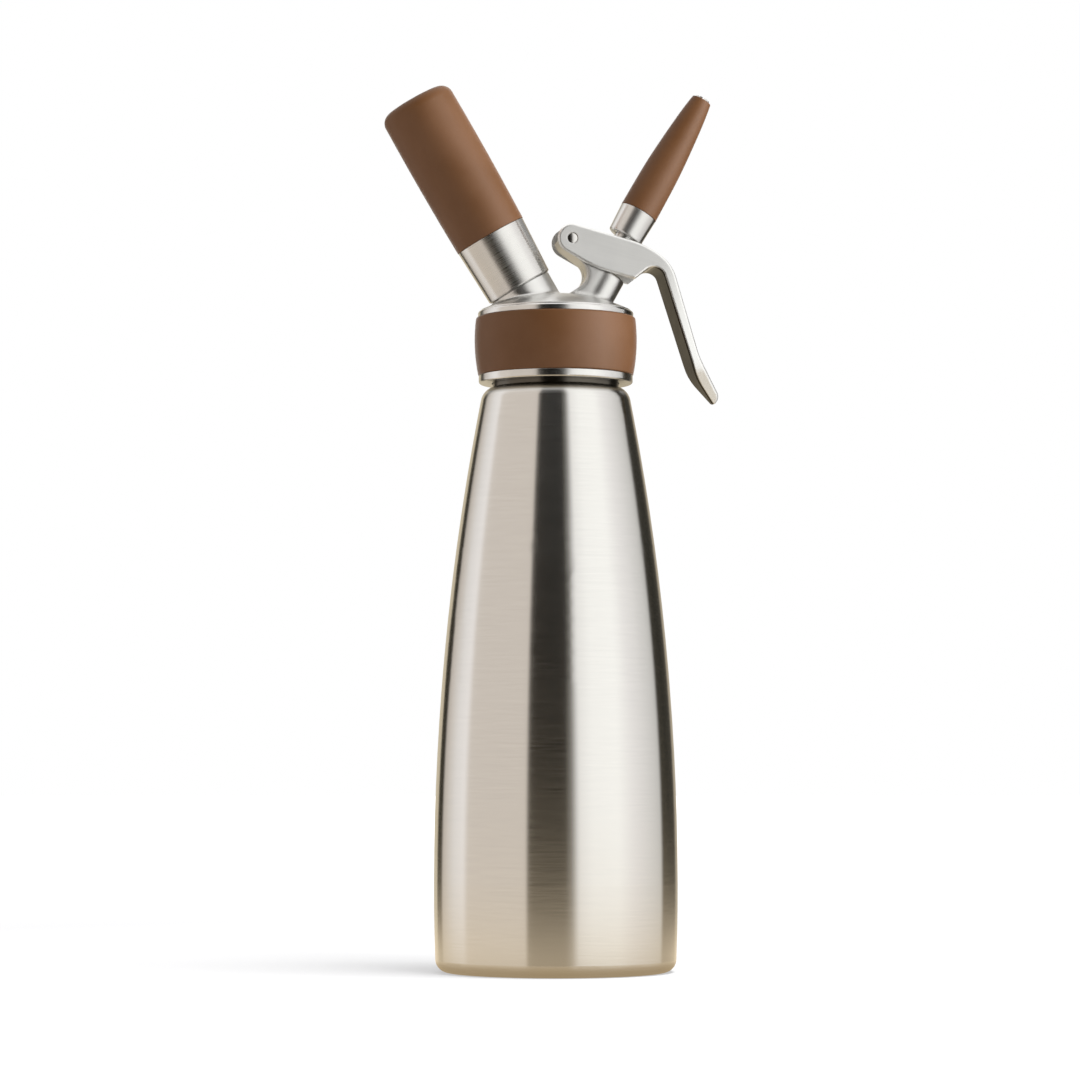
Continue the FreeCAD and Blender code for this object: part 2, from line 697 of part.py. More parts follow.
def lever_noses():
    """Two rounded noses under the top plate, one each side of the stem, that press the collar."""
    collar_top = COLLAR_FLOAT + STEM_TRAVEL + COLLAR_THICKNESS
    centre = collar_top + NOSE_GAP + NOSE_R
    height = 2 * NOSE_R + LEVER_TOP
    outer = LEVER_WIDTH / 2 - LEVER_CHEEK / 2
    inner = STEM_R + STEM_SLOT_GAP
    noses = []
    for low_y in (-outer, inner):
        bar = Part.makeCylinder(NOSE_R, outer - inner, Vector(0, low_y, centre), Y_AXIS)
        web = Part.makeBox(2 * NOSE_R, outer - inner, height, Vector(-NOSE_R, low_y, centre))
        noses.append(on_nozzle(bar.fuse(web)))
    return noses


def lever():
    body = plate(lever_outline(), LEVER_WIDTH).common(lever_front_form())
    body = body.makeFillet(LEVER_EDGE_ROUND, side_edges(body, LEVER_WIDTH / 2))
    hollow = body.cut(lever_cavity())
    filled = hollow.fuse([nose.common(body) for nose in lever_noses()])
    drilled = filled.cut([
        stem_slot(),
        across(PIN_R + RUNNING_GAP, PIN, 2 * LEVER_WIDTH),
    ])
    return one_solid(drilled)


def guide_bush():
    """Plastic bush that guides the stem and carries the spring."""
    top = -SPRING_CHAMBER_DEPTH + BUSH_FLANGE
    flange_r = SPRING_CHAMBER_R - WELD_GAP
    bottom = -SPRING_CHAMBER_DEPTH - BUSH_LENGTH
    bore = STEM_R + RUNNING_GAP
    return on_nozzle(turned(polygon([
        at(bore, bottom),
        at(BUSH_R, bottom),
        at(BUSH_R, -SPRING_CHAMBER_DEPTH),
        at(flange_r, -SPRING_CHAMBER_DEPTH),
        at(flange_r, top),
        at(bore, top),
    ])))


def stem_wiper():
    bottom = -SPRING_CHAMBER_DEPTH - BUSH_LENGTH - WIPER_HEIGHT
    return on_nozzle(ring(STEM_R + SOFT_GAP, BUSH_R, bottom, bottom + WIPER_HEIGHT - SKIN_GAP))


def valve_stem():
    """Hollow stem: open at the nozzle, with cream ports above its valve end."""
    seal_top = -SEAT_DEPTH - FACE_GAP
    end = seal_top - VALVE_SEAL_THICKNESS - VALVE_NUT_HEIGHT - 3 * FACE_GAP
    bore_end = seal_top + STEM_FLOOR
    outside = polygon([
        at(0, end),
        at(VALVE_BORE_R, end),
        at(VALVE_BORE_R, seal_top),
        at(STEM_R, seal_top),
        at(STEM_R, STEM_TOP),
        at(0, STEM_TOP),
    ])
    bore = rod(STEM_R - STEM_WALL, bore_end, STEM_TOP + OVERRUN)
    port = across(STEM_PORT_R, at(0, bore_end + STEM_PORT_R + SKIN_GAP), 4 * STEM_R)
    return on_nozzle(one_solid(turned(outside).cut([bore, port])))


def thrust_collar():
    low = COLLAR_FLOAT + STEM_TRAVEL
    return on_nozzle(ring(STEM_R + WELD_GAP, COLLAR_R, low, low + COLLAR_THICKNESS))


def stem_o_ring():
    """O-ring round the stem, between the wiper and the ledge over the inlet chamber."""
    tube = (BUSH_R - STEM_R) / 2 - SKIN_GAP
    centre = at(0, seal_bore_end() + tube + SKIN_GAP)
    return on_nozzle(Part.makeTorus((STEM_R + BUSH_R) / 2, tube, centre, Z_AXIS))


def valve_seal():
    top = -SEAT_DEPTH - FACE_GAP
    return on_nozzle(ring(VALVE_BORE_R + WELD_GAP, VALVE_SEAL_R, top - VALVE_SEAL_THICKNESS, top - FACE_GAP))


def valve_nut():
    top = -SEAT_DEPTH - VALVE_SEAL_THICKNESS - 2 * FACE_GAP
    corner_r = VALVE_NUT_FLATS / (2 * math.cos(math.pi / VALVE_NUT_SIDES))
    sides = [2 * math.pi * k / VALVE_NUT_SIDES for k in range(VALVE_NUT_SIDES)]
    corners = [Vector(corner_r * math.cos(side), corner_r * math.sin(side), top - VALVE_NUT_HEIGHT)
               for side in sides]
    hexagon = Part.Face(Part.makePolygon(corners + corners[:1])).extrude(Z_AXIS * VALVE_NUT_HEIGHT)
    hole = rod(VALVE_BORE_R + WELD_GAP, top - 2 * VALVE_NUT_HEIGHT, top + OVERRUN)
    return on_nozzle(one_solid(hexagon.cut(hole)))


def helix_point(radius, pitch, turn, low):
    angle = 2 * math.pi * turn
    return Vector(radius * math.cos(angle), radius * math.sin(angle), low + pitch * turn)


def helix_direction(radius, pitch, turn):
    angle = 2 * math.pi * turn
    rise = pitch / (2 * math.pi)
    return Vector(-radius * math.sin(angle), radius * math.cos(angle), rise).normalize()


def arc_towards(start, corner, end):
    """Arc that leaves start towards the corner and meets end from it."""
    chord_middle = (start + end) / 2
    half_angle = (start - corner).getAngle(end - corner) / 2
    reach = (start - corner).Length
    crown = reach / math.cos(half_angle) - reach * math.tan(half_angle)
    return arc(start, corner + (chord_middle - corner).normalize() * crown, end)


def coil_edges(radius, pitch, turns, low, steps_per_turn=2):
    """Helix as pairs of tangent arcs, one pair for each half turn."""
    edges = []
    count = int(round(turns * steps_per_turn))
    for k in range(count):
        a = k / steps_per_turn
        b = (k + 1) / steps_per_turn
        p0 = helix_point(radius, pitch, a, low)
        p1 = helix_point(radius, pitch, b, low)
        t0 = helix_direction(radius, pitch, a)
        t1 = helix_direction(radius, pitch, b)
        span = p1 - p0
        both = t0 + t1
        square = 4 - both.dot(both)
        slope = span.dot(both)
        reach = (math.sqrt(slope ** 2 + square * span.dot(span)) - slope) / square
        corner_a = p0 + t0 * reach
        corner_b = p1 - t1 * reach
        joint = (corner_a + corner_b) / 2
        edges.append(arc_towards(p0, corner_a, joint))
        edges.append(arc_towards(joint, corner_b, p1))
    return edges


def valve_spring():
    """Coil spring between the bush and the collar."""
    low = -SPRING_CHAMBER_DEPTH + BUSH_FLANGE + SPRING_WIRE / 2 + SKIN_GAP
    high = COLLAR_FLOAT + STEM_TRAVEL - SPRING_WIRE / 2 - SKIN_GAP
    pitch = (high - low) / SPRING_TURNS
    print("valve_spring     least gap between turns %.2f mm" % (pitch - SPRING_WIRE))
    path = Part.Wire(coil_edges(SPRING_R, pitch, SPRING_TURNS, low))
    start = helix_point(SPRING_R, pitch, 0, low)
    heading = helix_direction(SPRING_R, pitch, 0)
    section = Part.Wire(Part.makeCircle(SPRING_WIRE / 2, start, heading))
    coil = path.makePipeShell([section], True, False)
    return on_nozzle(Part.Solid(coil) if coil.ShapeType == "Shell" else coil.Solids[0])


def nozzle_seal():
    low = STEM_TOP + FACE_GAP
    return on_nozzle(ring(NOZZLE_BORE_R, STEM_R, low, low + NOZZLE_SEAL_THICKNESS))


def nozzle_core():
    """Steel ferrule, screwed on the stem, and the tube with its toothed tip."""
    top = FERRULE_START + FERRULE_LENGTH
    seal_top = STEM_TOP + 2 * FACE_GAP + NOZZLE_SEAL_THICKNESS
    tip = top + NOZZLE_SLEEVE_LENGTH + NOZZLE_TIP_PROUD
    mouth_r = STEM_R + THREAD_CLEARANCE
    bottom_r = mouth_r + FERRULE_WALL
    top_r = bottom_r + FERRULE_FLARE
    soft = FERRULE_ROUND * (1 - math.sqrt(0.5))
    section = [
        line(at(mouth_r, FERRULE_START), at(bottom_r - FERRULE_ROUND, FERRULE_START)),
        arc(at(bottom_r - FERRULE_ROUND, FERRULE_START),
            at(bottom_r - soft, FERRULE_START + soft),
            at(bottom_r, FERRULE_START + FERRULE_ROUND)),
        line(at(bottom_r, FERRULE_START + FERRULE_ROUND), at(top_r, top)),
        line(at(top_r, top), at(NOZZLE_TUBE_ROOT_R, top)),
        line(at(NOZZLE_TUBE_ROOT_R, top), at(NOZZLE_TUBE_TIP_R, tip)),
        line(at(NOZZLE_TUBE_TIP_R, tip), at(NOZZLE_BORE_R, tip)),
        line(at(NOZZLE_BORE_R, tip), at(NOZZLE_BORE_R, seal_top)),
        line(at(NOZZLE_BORE_R, seal_top), at(mouth_r, seal_top)),
        line(at(mouth_r, seal_top), at(mouth_r, FERRULE_START)),
    ]
    core = turned(section)
    slots = []
    for k in range(NOZZLE_TOOTH_COUNT // 2):
        slot = Part.makeBox(4 * NOZZLE_TUBE_TIP_R, NOZZLE_TOOTH_WIDTH, 2 * NOZZLE_TOOTH_DEPTH,
                            Vector(-2 * NOZZLE_TUBE_TIP_R, -NOZZLE_TOOTH_WIDTH / 2, tip - NOZZLE_TOOTH_DEPTH))
        slot.rotate(ORIGIN, Z_AXIS, k * FULL_TURN / NOZZLE_TOOTH_COUNT)
        slots.append(slot)
    return on_nozzle(one_solid(core.cut(slots)))


def nozzle_sleeve():
    """Silicone sleeve over the tube, a long convex taper."""
    low = FERRULE_START + FERRULE_LENGTH + SKIN_GAP
    high = low - SKIN_GAP + NOZZLE_SLEEVE_LENGTH
    step = (high - low - NOZZLE_SLEEVE_END_LENGTH) / (len(NOZZLE_SLEEVE_RADII) - 1)
    taper = [at(radius, low + k * step) for k, radius in enumerate(NOZZLE_SLEEVE_RADII)]
    end = at(NOZZLE_SLEEVE_END_R, high)
    side = Part.BSplineCurve()
    side.interpolate(taper + [end])
    tube_run = NOZZLE_SLEEVE_LENGTH + NOZZLE_TIP_PROUD
    thinning = (NOZZLE_TUBE_ROOT_R - NOZZLE_TUBE_TIP_R) / tube_run
    inner_low = at(NOZZLE_TUBE_ROOT_R + SKIN_GAP, low)
    inner_high = at(NOZZLE_TUBE_ROOT_R + SKIN_GAP - thinning * NOZZLE_SLEEVE_LENGTH, high)
    section = [
        line(inner_low, taper[0]),
        side.toShape(),
        line(end, inner_high),
        line(inner_high, inner_low),
    ]
    return on_nozzle(turned(section))


def holder_shell():
    """Steel cup that screws on the port and pushes the charger on to the needle."""
    body_r = HOLDER_CORE_R + STEEL_PROUD
    thread_end = SPIGOT_HEIGHT + HOLDER_THREAD_RUNOUT
    bore_start = thread_end + HOLDER_THREAD_R - HOLDER_BORE_R
    round_r = CHARGER_END_R + SOFT_GAP
    rim_soft = EDGE_ROUND / 2
    core_corner = at(HOLDER_CORE_R - HOLDER_CORE_ROUND, HOLDER_CORE_END - HOLDER_CORE_ROUND)
    section = [
        line(at(HOLDER_THREAD_R, 0), at(HOLDER_RIM_R - rim_soft, 0)),
        line(at(HOLDER_RIM_R - rim_soft, 0), at(HOLDER_RIM_R, rim_soft)),
        line(at(HOLDER_RIM_R, rim_soft), at(body_r, HOLDER_STEEL_LENGTH)),
        line(at(body_r, HOLDER_STEEL_LENGTH), at(HOLDER_CORE_R, HOLDER_STEEL_LENGTH)),
        line(at(HOLDER_CORE_R, HOLDER_STEEL_LENGTH), at(HOLDER_CORE_R, core_corner.z)),
        arc_about(core_corner, HOLDER_CORE_ROUND, 0, 90),
        line(at(core_corner.x, HOLDER_CORE_END), at(0, HOLDER_CORE_END)),
        line(at(0, HOLDER_CORE_END), at(0, HOLDER_BORE_END)),
        line(at(0, HOLDER_BORE_END), at(HOLDER_BORE_R - round_r, HOLDER_BORE_END)),
        arc_about(at(HOLDER_BORE_R - round_r, HOLDER_BORE_END - round_r), round_r, 90, 0),
        line(at(HOLDER_BORE_R, HOLDER_BORE_END - round_r), at(HOLDER_BORE_R, bore_start)),
        line(at(HOLDER_BORE_R, bore_start), at(HOLDER_THREAD_R, thread_end)),
        line(at(HOLDER_THREAD_R, thread_end), at(HOLDER_THREAD_R, 0)),
    ]
    return on_holder(turned(section))


def holder_sleeve():
    """Silicone sleeve over the holder, slightly barrelled, with a rounded and domed end."""
    low = HOLDER_STEEL_LENGTH + SKIN_GAP
    inner_r = HOLDER_CORE_R + SKIN_GAP
    inner_end = HOLDER_CORE_END + SKIN_GAP
    start = at(HOLDER_CORE_R + SLEEVE_START_PROUD, low)
    bulge = at(HOLDER_CORE_R + SLEEVE_MIDDLE_PROUD, HOLDER_LENGTH - SLEEVE_BULGE_DROP)
    dome_centre = at(0, HOLDER_LENGTH - SLEEVE_DOME_R)
    corner_x = HOLDER_CORE_R + SLEEVE_END_PROUD - SLEEVE_CORNER_R
    lean = math.degrees(math.asin(corner_x / (SLEEVE_DOME_R - SLEEVE_CORNER_R)))
    corner = dome_centre + polar(90 - lean, SLEEVE_DOME_R - SLEEVE_CORNER_R)
    side_end = corner + polar(0, SLEEVE_CORNER_R)
    section = [
        line(at(inner_r, low), start),
        arc(start, bulge, side_end),
        arc_about(corner, SLEEVE_CORNER_R, 0, 90 - lean),
        arc_about(dome_centre, SLEEVE_DOME_R, 90 - lean, 90),
        line(at(0, HOLDER_LENGTH), at(0, inner_end)),
        line(at(0, inner_end), at(inner_r - HOLDER_CORE_ROUND, inner_end)),
        arc_about(at(inner_r - HOLDER_CORE_ROUND, inner_end - HOLDER_CORE_ROUND), HOLDER_CORE_ROUND, 90, 0),
        line(at(inner_r, inner_end - HOLDER_CORE_ROUND), at(inner_r, low)),
    ]
    return on_holder(turned(section))


def charger_bottle():
    """Steel gas charger, hollow, open at the neck where its cap is pressed in."""
    low = CHARGER_SEAT_T
    neck_end = low + CHARGER_NECK_LENGTH
    shoulder_end = neck_end + CHARGER_SHOULDER_LENGTH
    top = low + CHARGER_LENGTH
    bend = at((CHARGER_NECK_R + CHARGER_R) / 2 + CHARGER_BEND, (neck_end + shoulder_end) / 2 - CHARGER_BEND)
    outside = turned([
        line(at(0, low), at(CHARGER_NECK_R, low)),
        line(at(CHARGER_NECK_R, low), at(CHARGER_NECK_R, neck_end)),
        arc(at(CHARGER_NECK_R, neck_end), bend, at(CHARGER_R, shoulder_end)),
        line(at(CHARGER_R, shoulder_end), at(CHARGER_R, top - CHARGER_END_R)),
        arc_about(at(CHARGER_R - CHARGER_END_R, top - CHARGER_END_R), CHARGER_END_R, 0, 90),
        line(at(CHARGER_R - CHARGER_END_R, top), at(0, top)),
        line(at(0, top), at(0, low)),
    ])
    neck_bore = CHARGER_NECK_R - CHARGER_WALL
    body_bore = CHARGER_R - CHARGER_WALL
    mouth_end = low + CAP_DEPTH + CAP_THICKNESS
    inside = turned(polygon([
        at(0, low - OVERRUN),
        at(CAP_R, low - OVERRUN),
        at(CAP_R, mouth_end),
        at(neck_bore, mouth_end),
        at(neck_bore, neck_end),
        at(body_bore, shoulder_end),
        at(body_bore, top - CHARGER_END_R),
        at(body_bore - CHARGER_END_R, top - CHARGER_WALL),
        at(0, top - CHARGER_WALL),
    ]))
    return on_holder(one_solid(outside.cut(inside)))


def charger_cap():
    """Thin steel cap in the charger's neck, pierced by the needle."""
    high = CHARGER_SEAT_T + CAP_DEPTH + CAP_THICKNESS
    return on_holder(ring(NEEDLE_R + PIERCE_GAP, CAP_R - WELD_GAP, high - CAP_THICKNESS, high))


def needle_carrier():
    """Screwed insert in the port that holds the needle and lets gas through."""
    low = NEEDLE_BASE - CARRIER_LENGTH
    outer = PORT_BORE_R - RUNNING_GAP
    body = ring(NEEDLE_R + WELD_GAP, outer, low, NEEDLE_BASE)
    slot_corner = Vector(-2 * outer, -CARRIER_SLOT / 2, NEEDLE_BASE - CARRIER_SLOT)
    slot = Part.makeBox(4 * outer, CARRIER_SLOT, CARRIER_SLOT + OVERRUN, slot_corner)
    return on_holder(one_solid(body.cut(slot)))


def piercing_needle():
    """Hollow needle with a slanted point."""
    low = NEEDLE_BASE - CARRIER_LENGTH / 2
    tip = NEEDLE_BASE + NEEDLE_REACH
    tube = ring(NEEDLE_BORE_R, NEEDLE_R, low, tip)
    side = 2 * NEEDLE_REACH
    bevel = Part.makeBox(side, side, side, Vector(-side / 2, -side / 2, 0))
    bevel.rotate(ORIGIN, Y_AXIS, NEEDLE_BEVEL)
    bevel.translate(at(0, tip - NEEDLE_R))
    return on_holder(one_solid(tube.cut(bevel)))


def charger_seal():
    low = NEEDLE_BASE + FACE_GAP
    return on_holder(ring(CHARGER_SEAL_BORE_R, PORT_BORE_R - SKIN_GAP, low, low + CHARGER_SEAL_THICKNESS))


def check_valve():
    """Small rubber cup that lets gas in and nothing back."""
    high = NEEDLE_BASE - CARRIER_LENGTH - FACE_GAP
    low = high - CHECK_HEIGHT
    lip = CHECK_R / 2
    return on_holder(turned(polygon([
        at(0, low),
        at(CHECK_R, low),
        at(CHECK_R, high - CHECK_HEIGHT / 2),
        at(lip, high),
        at(0, high),
    ])))


PIECES = [
    bottle_shell,
    neck_ring,
    head_gasket,
    head_casting,
    grip_ring,
    lever_pin,
    lever,
    guide_bush,
    stem_wiper,
    valve_stem,
    thrust_collar,
    stem_o_ring,
    valve_seal,
    valve_nut,
    valve_spring,
    nozzle_seal,
    nozzle_core,
    nozzle_sleeve,
    holder_shell,
    holder_sleeve,
    charger_bottle,
    charger_cap,
    needle_carrier,
    piercing_needle,
    charger_seal,
    check_valve,
]

for piece in PIECES:
    save(piece.__name__, piece())
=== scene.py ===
import math

import bmesh
import bpy
from mathutils import Matrix, Vector


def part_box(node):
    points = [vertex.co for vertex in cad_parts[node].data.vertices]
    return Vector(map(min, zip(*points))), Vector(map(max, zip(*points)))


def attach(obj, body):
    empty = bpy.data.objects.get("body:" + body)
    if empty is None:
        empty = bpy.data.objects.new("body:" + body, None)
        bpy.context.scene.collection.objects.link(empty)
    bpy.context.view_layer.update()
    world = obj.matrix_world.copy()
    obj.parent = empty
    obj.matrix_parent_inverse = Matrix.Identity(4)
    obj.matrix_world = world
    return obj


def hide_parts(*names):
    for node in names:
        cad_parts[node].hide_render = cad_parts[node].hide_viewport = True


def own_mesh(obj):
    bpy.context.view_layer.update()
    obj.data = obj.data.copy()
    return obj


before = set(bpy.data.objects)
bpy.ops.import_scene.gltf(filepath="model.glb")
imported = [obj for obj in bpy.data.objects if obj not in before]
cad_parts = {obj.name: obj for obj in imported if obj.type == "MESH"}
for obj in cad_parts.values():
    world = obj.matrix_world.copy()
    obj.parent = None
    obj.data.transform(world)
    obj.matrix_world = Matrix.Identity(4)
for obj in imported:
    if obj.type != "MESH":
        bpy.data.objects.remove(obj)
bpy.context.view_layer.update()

# Bottle: one litre, deep drawn in stainless steel. After drawing it is spun against a belt, so
# its satin is made of fine level lines, and its foot is rounded where the sheet turns under.

BOTTLE_STEEL = (0.74, 0.73, 0.71)
BURNISHED = (0.86, 0.85, 0.83)
BURNISHED_SHARE = 0.6
BURNISHED_GLOSS = 0.06
# Painted shade under the head's lip: a dark tone that stands for the lip's shadow and its dark reflection in
# the steel below it
UNDER_LIP_SHADE = (0.13, 0.118, 0.10)
# Marks to the metre round the axis, and the share of the lines to the metre along it
BELT_MARKS = ((90.0, 1.0), (40.0, 0.55), (14.0, 0.12))
BELT_CLOUDS = 34.0
BELT_TONES = (0.36, 0.64)
BELT_GLOSS = (-0.03, 0.03)
BELT_CLOUD_GLOSS = (-0.005, 0.005)
FINE_RELIEF = 0.0001
# Most of a soft pattern lies between these, and the rest is held at them
PATTERN_RANGE = (0.3, 0.7)
# How far the softened normal agrees with the true one where an edge's wear starts, and where it is full
EDGE_WEAR = (0.995, 0.85)


def fill(tree, made, values):
    """Gives a node's inputs their values, or joins them to the sockets of other nodes."""
    for name, value in values.items():
        if isinstance(value, bpy.types.NodeSocket):
            tree.links.new(value, made.inputs[name])
        else:
            made.inputs[name].default_value = value


def node(tree, kind, values=None, **settings):
    """One shader node, its settings given by name and its inputs as values or as sockets."""
    made = tree.nodes.new(kind)
    for name, value in settings.items():
        setattr(made, name, value)
    fill(tree, made, values or {})
    return made


def maths(tree, operation, *values):
    """Result of a Math node."""
    return node(tree, "ShaderNodeMath", dict(enumerate(values)), operation=operation).outputs[0]


def weighed(tree, first, first_weight, second, second_weight):
    """Sum of two patterns, each with its weight."""
    return maths(tree, "ADD", maths(tree, "MULTIPLY", first, first_weight),
                 maths(tree, "MULTIPLY", second, second_weight))


def spread(tree, value, low, high, to_low=0.0, to_high=1.0):
    """Value moved from one range to another, held at the ends."""
    values = {"Value": value, "From Min": low, "From Max": high, "To Min": to_low, "To Max": to_high}
    return node(tree, "ShaderNodeMapRange", values).outputs["Result"]


def swing(tree, pattern, low, high):
    """Soft pattern turned into a small change from low to high."""
    return spread(tree, pattern, *PATTERN_RANGE, low, high)


def noise(tree, place, scale, detail, roughness=0.5):
    """Soft random pattern round a half."""
    values = {"Vector": place, "Scale": scale, "Detail": detail, "Roughness": roughness}
    return node(tree, "ShaderNodeTexNoise", values).outputs[0]


def place_on(tree):
    """Place on the piece, in metres."""
    return node(tree, "ShaderNodeTexCoord").outputs["Object"]


def split(tree, place):
    """The three parts of a place or direction."""
    return node(tree, "ShaderNodeSeparateXYZ", {0: place}).outputs


def distance(tree, place, other):
    """Distance between two places, in metres."""
    return node(tree, "ShaderNodeVectorMath", {0: place, 1: other}, operation="DISTANCE").outputs["Value"]


def agreement(tree, first, second):
    """How far two directions agree, 1 where they are the same."""
    return node(tree, "ShaderNodeVectorMath", {0: first, 1: second}, operation="DOT_PRODUCT").outputs["Value"]


def blended(tree, share, first, second):
    """Colour between two, by a share from 0 to 1."""
    mix = node(tree, "ShaderNodeMix", {"Factor": share}, data_type="RGBA")
    for socket, colour in zip((mix.inputs[6], mix.inputs[7]), (first, second)):
        if isinstance(colour, bpy.types.NodeSocket):
            tree.links.new(colour, socket)
        else:
            socket.default_value = (*colour, 1.0)
    return mix.outputs[2]


def finish_group(name, inputs, outputs):
    """Empty node group, with the sockets that come in and the node that they go out by."""
    group = bpy.data.node_groups.new(name, "ShaderNodeTree")
    for label, kind, value in inputs:
        made = group.interface.new_socket(label, in_out="INPUT", socket_type="NodeSocket" + kind)
        made.default_value = value
    for label, kind in outputs:
        group.interface.new_socket(label, in_out="OUTPUT", socket_type="NodeSocket" + kind)
    return group, group.nodes.new("NodeGroupInput").outputs, group.nodes.new("NodeGroupOutput")


def turned_lines():
    """Belt or tool lines round an axis that leans in the plane of spout and holder."""
    group, given, out = finish_group(
        "turned lines",
        [("Foot of Axis", "Vector", (0, 0, 0)), ("Lean", "Float", 0.0),
         ("Lines per Metre", "Float", 3000.0), ("Roughness", "Float", 0.3)],
        [("Shade", "Float"), ("Roughness", "Float"), ("Height", "Float")])
    place = place_on(group)
    upright = maths(group, "MULTIPLY", given["Lean"], -1)
    turned = node(group, "ShaderNodeVectorRotate",
                  {"Vector": place, "Center": given["Foot of Axis"], "Angle": upright},
                  rotation_type="Y_AXIS").outputs[0]
    parts = split(group, turned)
    grain = []
    for around, along in BELT_MARKS:
        lines = maths(group, "MULTIPLY", given["Lines per Metre"], along)
        stretched = node(group, "ShaderNodeCombineXYZ", {
            0: maths(group, "MULTIPLY", parts[0], around),
            1: maths(group, "MULTIPLY", parts[1], around),
            2: maths(group, "MULTIPLY", parts[2], lines)}).outputs[0]
        grain.append(noise(group, stretched, scale=1.0, detail=3.0, roughness=0.6))
    cloud = noise(group, place, BELT_CLOUDS, detail=2.0)
    fine = weighed(group, grain[0], 0.6, grain[1], 0.4)
    shade = weighed(group, fine, 0.9, grain[2], 0.1)
    uneven = maths(group, "ADD", swing(group, fine, *BELT_GLOSS), swing(group, cloud, *BELT_CLOUD_GLOSS))
    fill(group, out, {
        "Shade": spread(group, shade, *BELT_TONES),
        "Roughness": maths(group, "ADD", given["Roughness"], uneven),
        "Height": fine})
    return group


def worn_edges():
    """Mask of the outer edges, where handling has burnished the metal, and the softened normal there."""
    group, given, out = finish_group(
        "worn edges", [("Width", "Float", 0.0004)], [("Mask", "Float"), ("Normal", "Vector")])
    soft = node(group, "ShaderNodeBevel", {"Radius": given["Width"]}, samples=6).outputs[0]
    true = node(group, "ShaderNodeNewGeometry").outputs["Normal"]
    fill(group, out, {"Mask": spread(group, agreement(group, soft, true), *EDGE_WEAR), "Normal": soft})
    return group


TURNED_LINES = turned_lines()
WORN_EDGES = worn_edges()


def new_finish(name):
    """Material with its node tree and its main shader."""
    material = bpy.data.materials.new(name)
    material.use_nodes = True
    return material, material.node_tree, material.node_tree.nodes["Principled BSDF"]


def worn_colour(tree, colour, contrast, shade, mask):
    """Steel's colour, shifted by its marks and paler where the edges are burnished."""
    dark = tuple(part * (1 - contrast) for part in colour)
    light = tuple(min(1.0, part * (1 + contrast)) for part in colour)
    body = blended(tree, shade, dark, light)
    return blended(tree, maths(tree, "MULTIPLY", mask, BURNISHED_SHARE), body, BURNISHED)


def worn_gloss(tree, roughness, mask):
    """Steel's roughness, smoother where the edges are burnished."""
    return maths(tree, "SUBTRACT", roughness, maths(tree, "MULTIPLY", mask, BURNISHED_GLOSS))


def steel(name, colour, roughness, anisotropy, lean=0.0, foot=(0, 0, 0), lines=3000.0, contrast=0.06,
          relief=0.06, edge=0.0003, lip_shade=None):
    """Turned or brushed steel. Its lines run round an axis through foot that leans by an angle.

    Its last argument gives two heights for painted shade under the head's lip, a dark tone that stands for
    the lip's shadow and its dark reflection: none at the first height, full at the second."""
    material, tree, shader = new_finish(name)
    grain = node(tree, "ShaderNodeGroup",
                 {"Foot of Axis": foot, "Lean": lean, "Lines per Metre": lines, "Roughness": roughness},
                 node_tree=TURNED_LINES).outputs
    edges = node(tree, "ShaderNodeGroup", {"Width": edge}, node_tree=WORN_EDGES).outputs
    worn_and_shaded = worn_colour(tree, colour, contrast, grain["Shade"], edges["Mask"])
    # Painted shade under the head's lip, blended in by height
    if lip_shade:
        height = split(tree, place_on(tree))[2]
        worn_and_shaded = blended(tree, spread(tree, height, *lip_shade), worn_and_shaded, UNDER_LIP_SHADE)
    axis = node(tree, "ShaderNodeVectorTransform", {0: (math.sin(lean), 0.0, math.cos(lean))},
                vector_type="VECTOR", convert_from="OBJECT", convert_to="WORLD").outputs[0]
    bump = node(tree, "ShaderNodeBump", {"Height": grain["Height"], "Normal": edges["Normal"],
                                         "Strength": relief, "Distance": FINE_RELIEF}).outputs[0]
    fill(tree, shader, {
        "Base Color": worn_and_shaded, "Metallic": 1.0, "Roughness": worn_gloss(tree, grain["Roughness"], edges["Mask"]),
        "Anisotropic": anisotropy, "Tangent": axis, "Normal": bump})
    return material


def give(name, material):
    """Puts one material on every slot of a CAD node."""
    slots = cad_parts[name].material_slots
    if not slots:
        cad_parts[name].data.materials.append(material)
    for slot in slots:
        slot.material = material


HEAD_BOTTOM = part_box("head_casting")[0][2]
# Heights on the bottle's shoulder where the painted shade under the head's lip starts and where it is full
LIP_SHADE_STARTS = HEAD_BOTTOM - 0.0052
LIP_SHADE_FULL = HEAD_BOTTOM - 0.0022

give("bottle_shell", steel("bottle steel", BOTTLE_STEEL, roughness=0.205, anisotropy=1.0, lines=3400.0,
                           contrast=0.03, relief=0.03, lip_shade=(LIP_SHADE_STARTS, LIP_SHADE_FULL)))

# Neck ring: turned from bar, threaded, and welded into the shoulder of the bottle. The thread is
# a rolled ridge that runs out at both ends, and the head screws down over it.

NECK_STEEL = (0.60, 0.585, 0.56)
NECK_THREAD_R = 0.0241
NECK_THREAD_DEPTH = 0.0007
NECK_THREAD_PITCH = 0.004
NECK_THREAD_LOW = 0.2360
NECK_THREAD_HIGH = 0.2522
THREAD_STEPS = 56
THREAD_RUNOUT = 0.4
THREAD_LEAST = 0.02
THREAD_SUNK = 0.00015
# Points of the ridge's section: out as a share of its depth, and along as a share of its pitch
RIDGE = ((0.0, -0.31), (0.8, -0.13), (1.0, 0.0), (0.8, 0.13), (0.0, 0.31))
RIDGE_FOOT = 0.34


def smooth_piece(name, mesh, material):
    """Smooth piece in the scene, made from a finished mesh."""
    bmesh.ops.recalc_face_normals(mesh, faces=mesh.faces)
    made = bpy.data.meshes.new(name)
    mesh.to_mesh(made)
    mesh.free()
    made.shade_smooth()
    made.materials.append(material)
    piece = bpy.data.objects.new(name, made)
    bpy.context.scene.collection.objects.link(piece)
    return piece


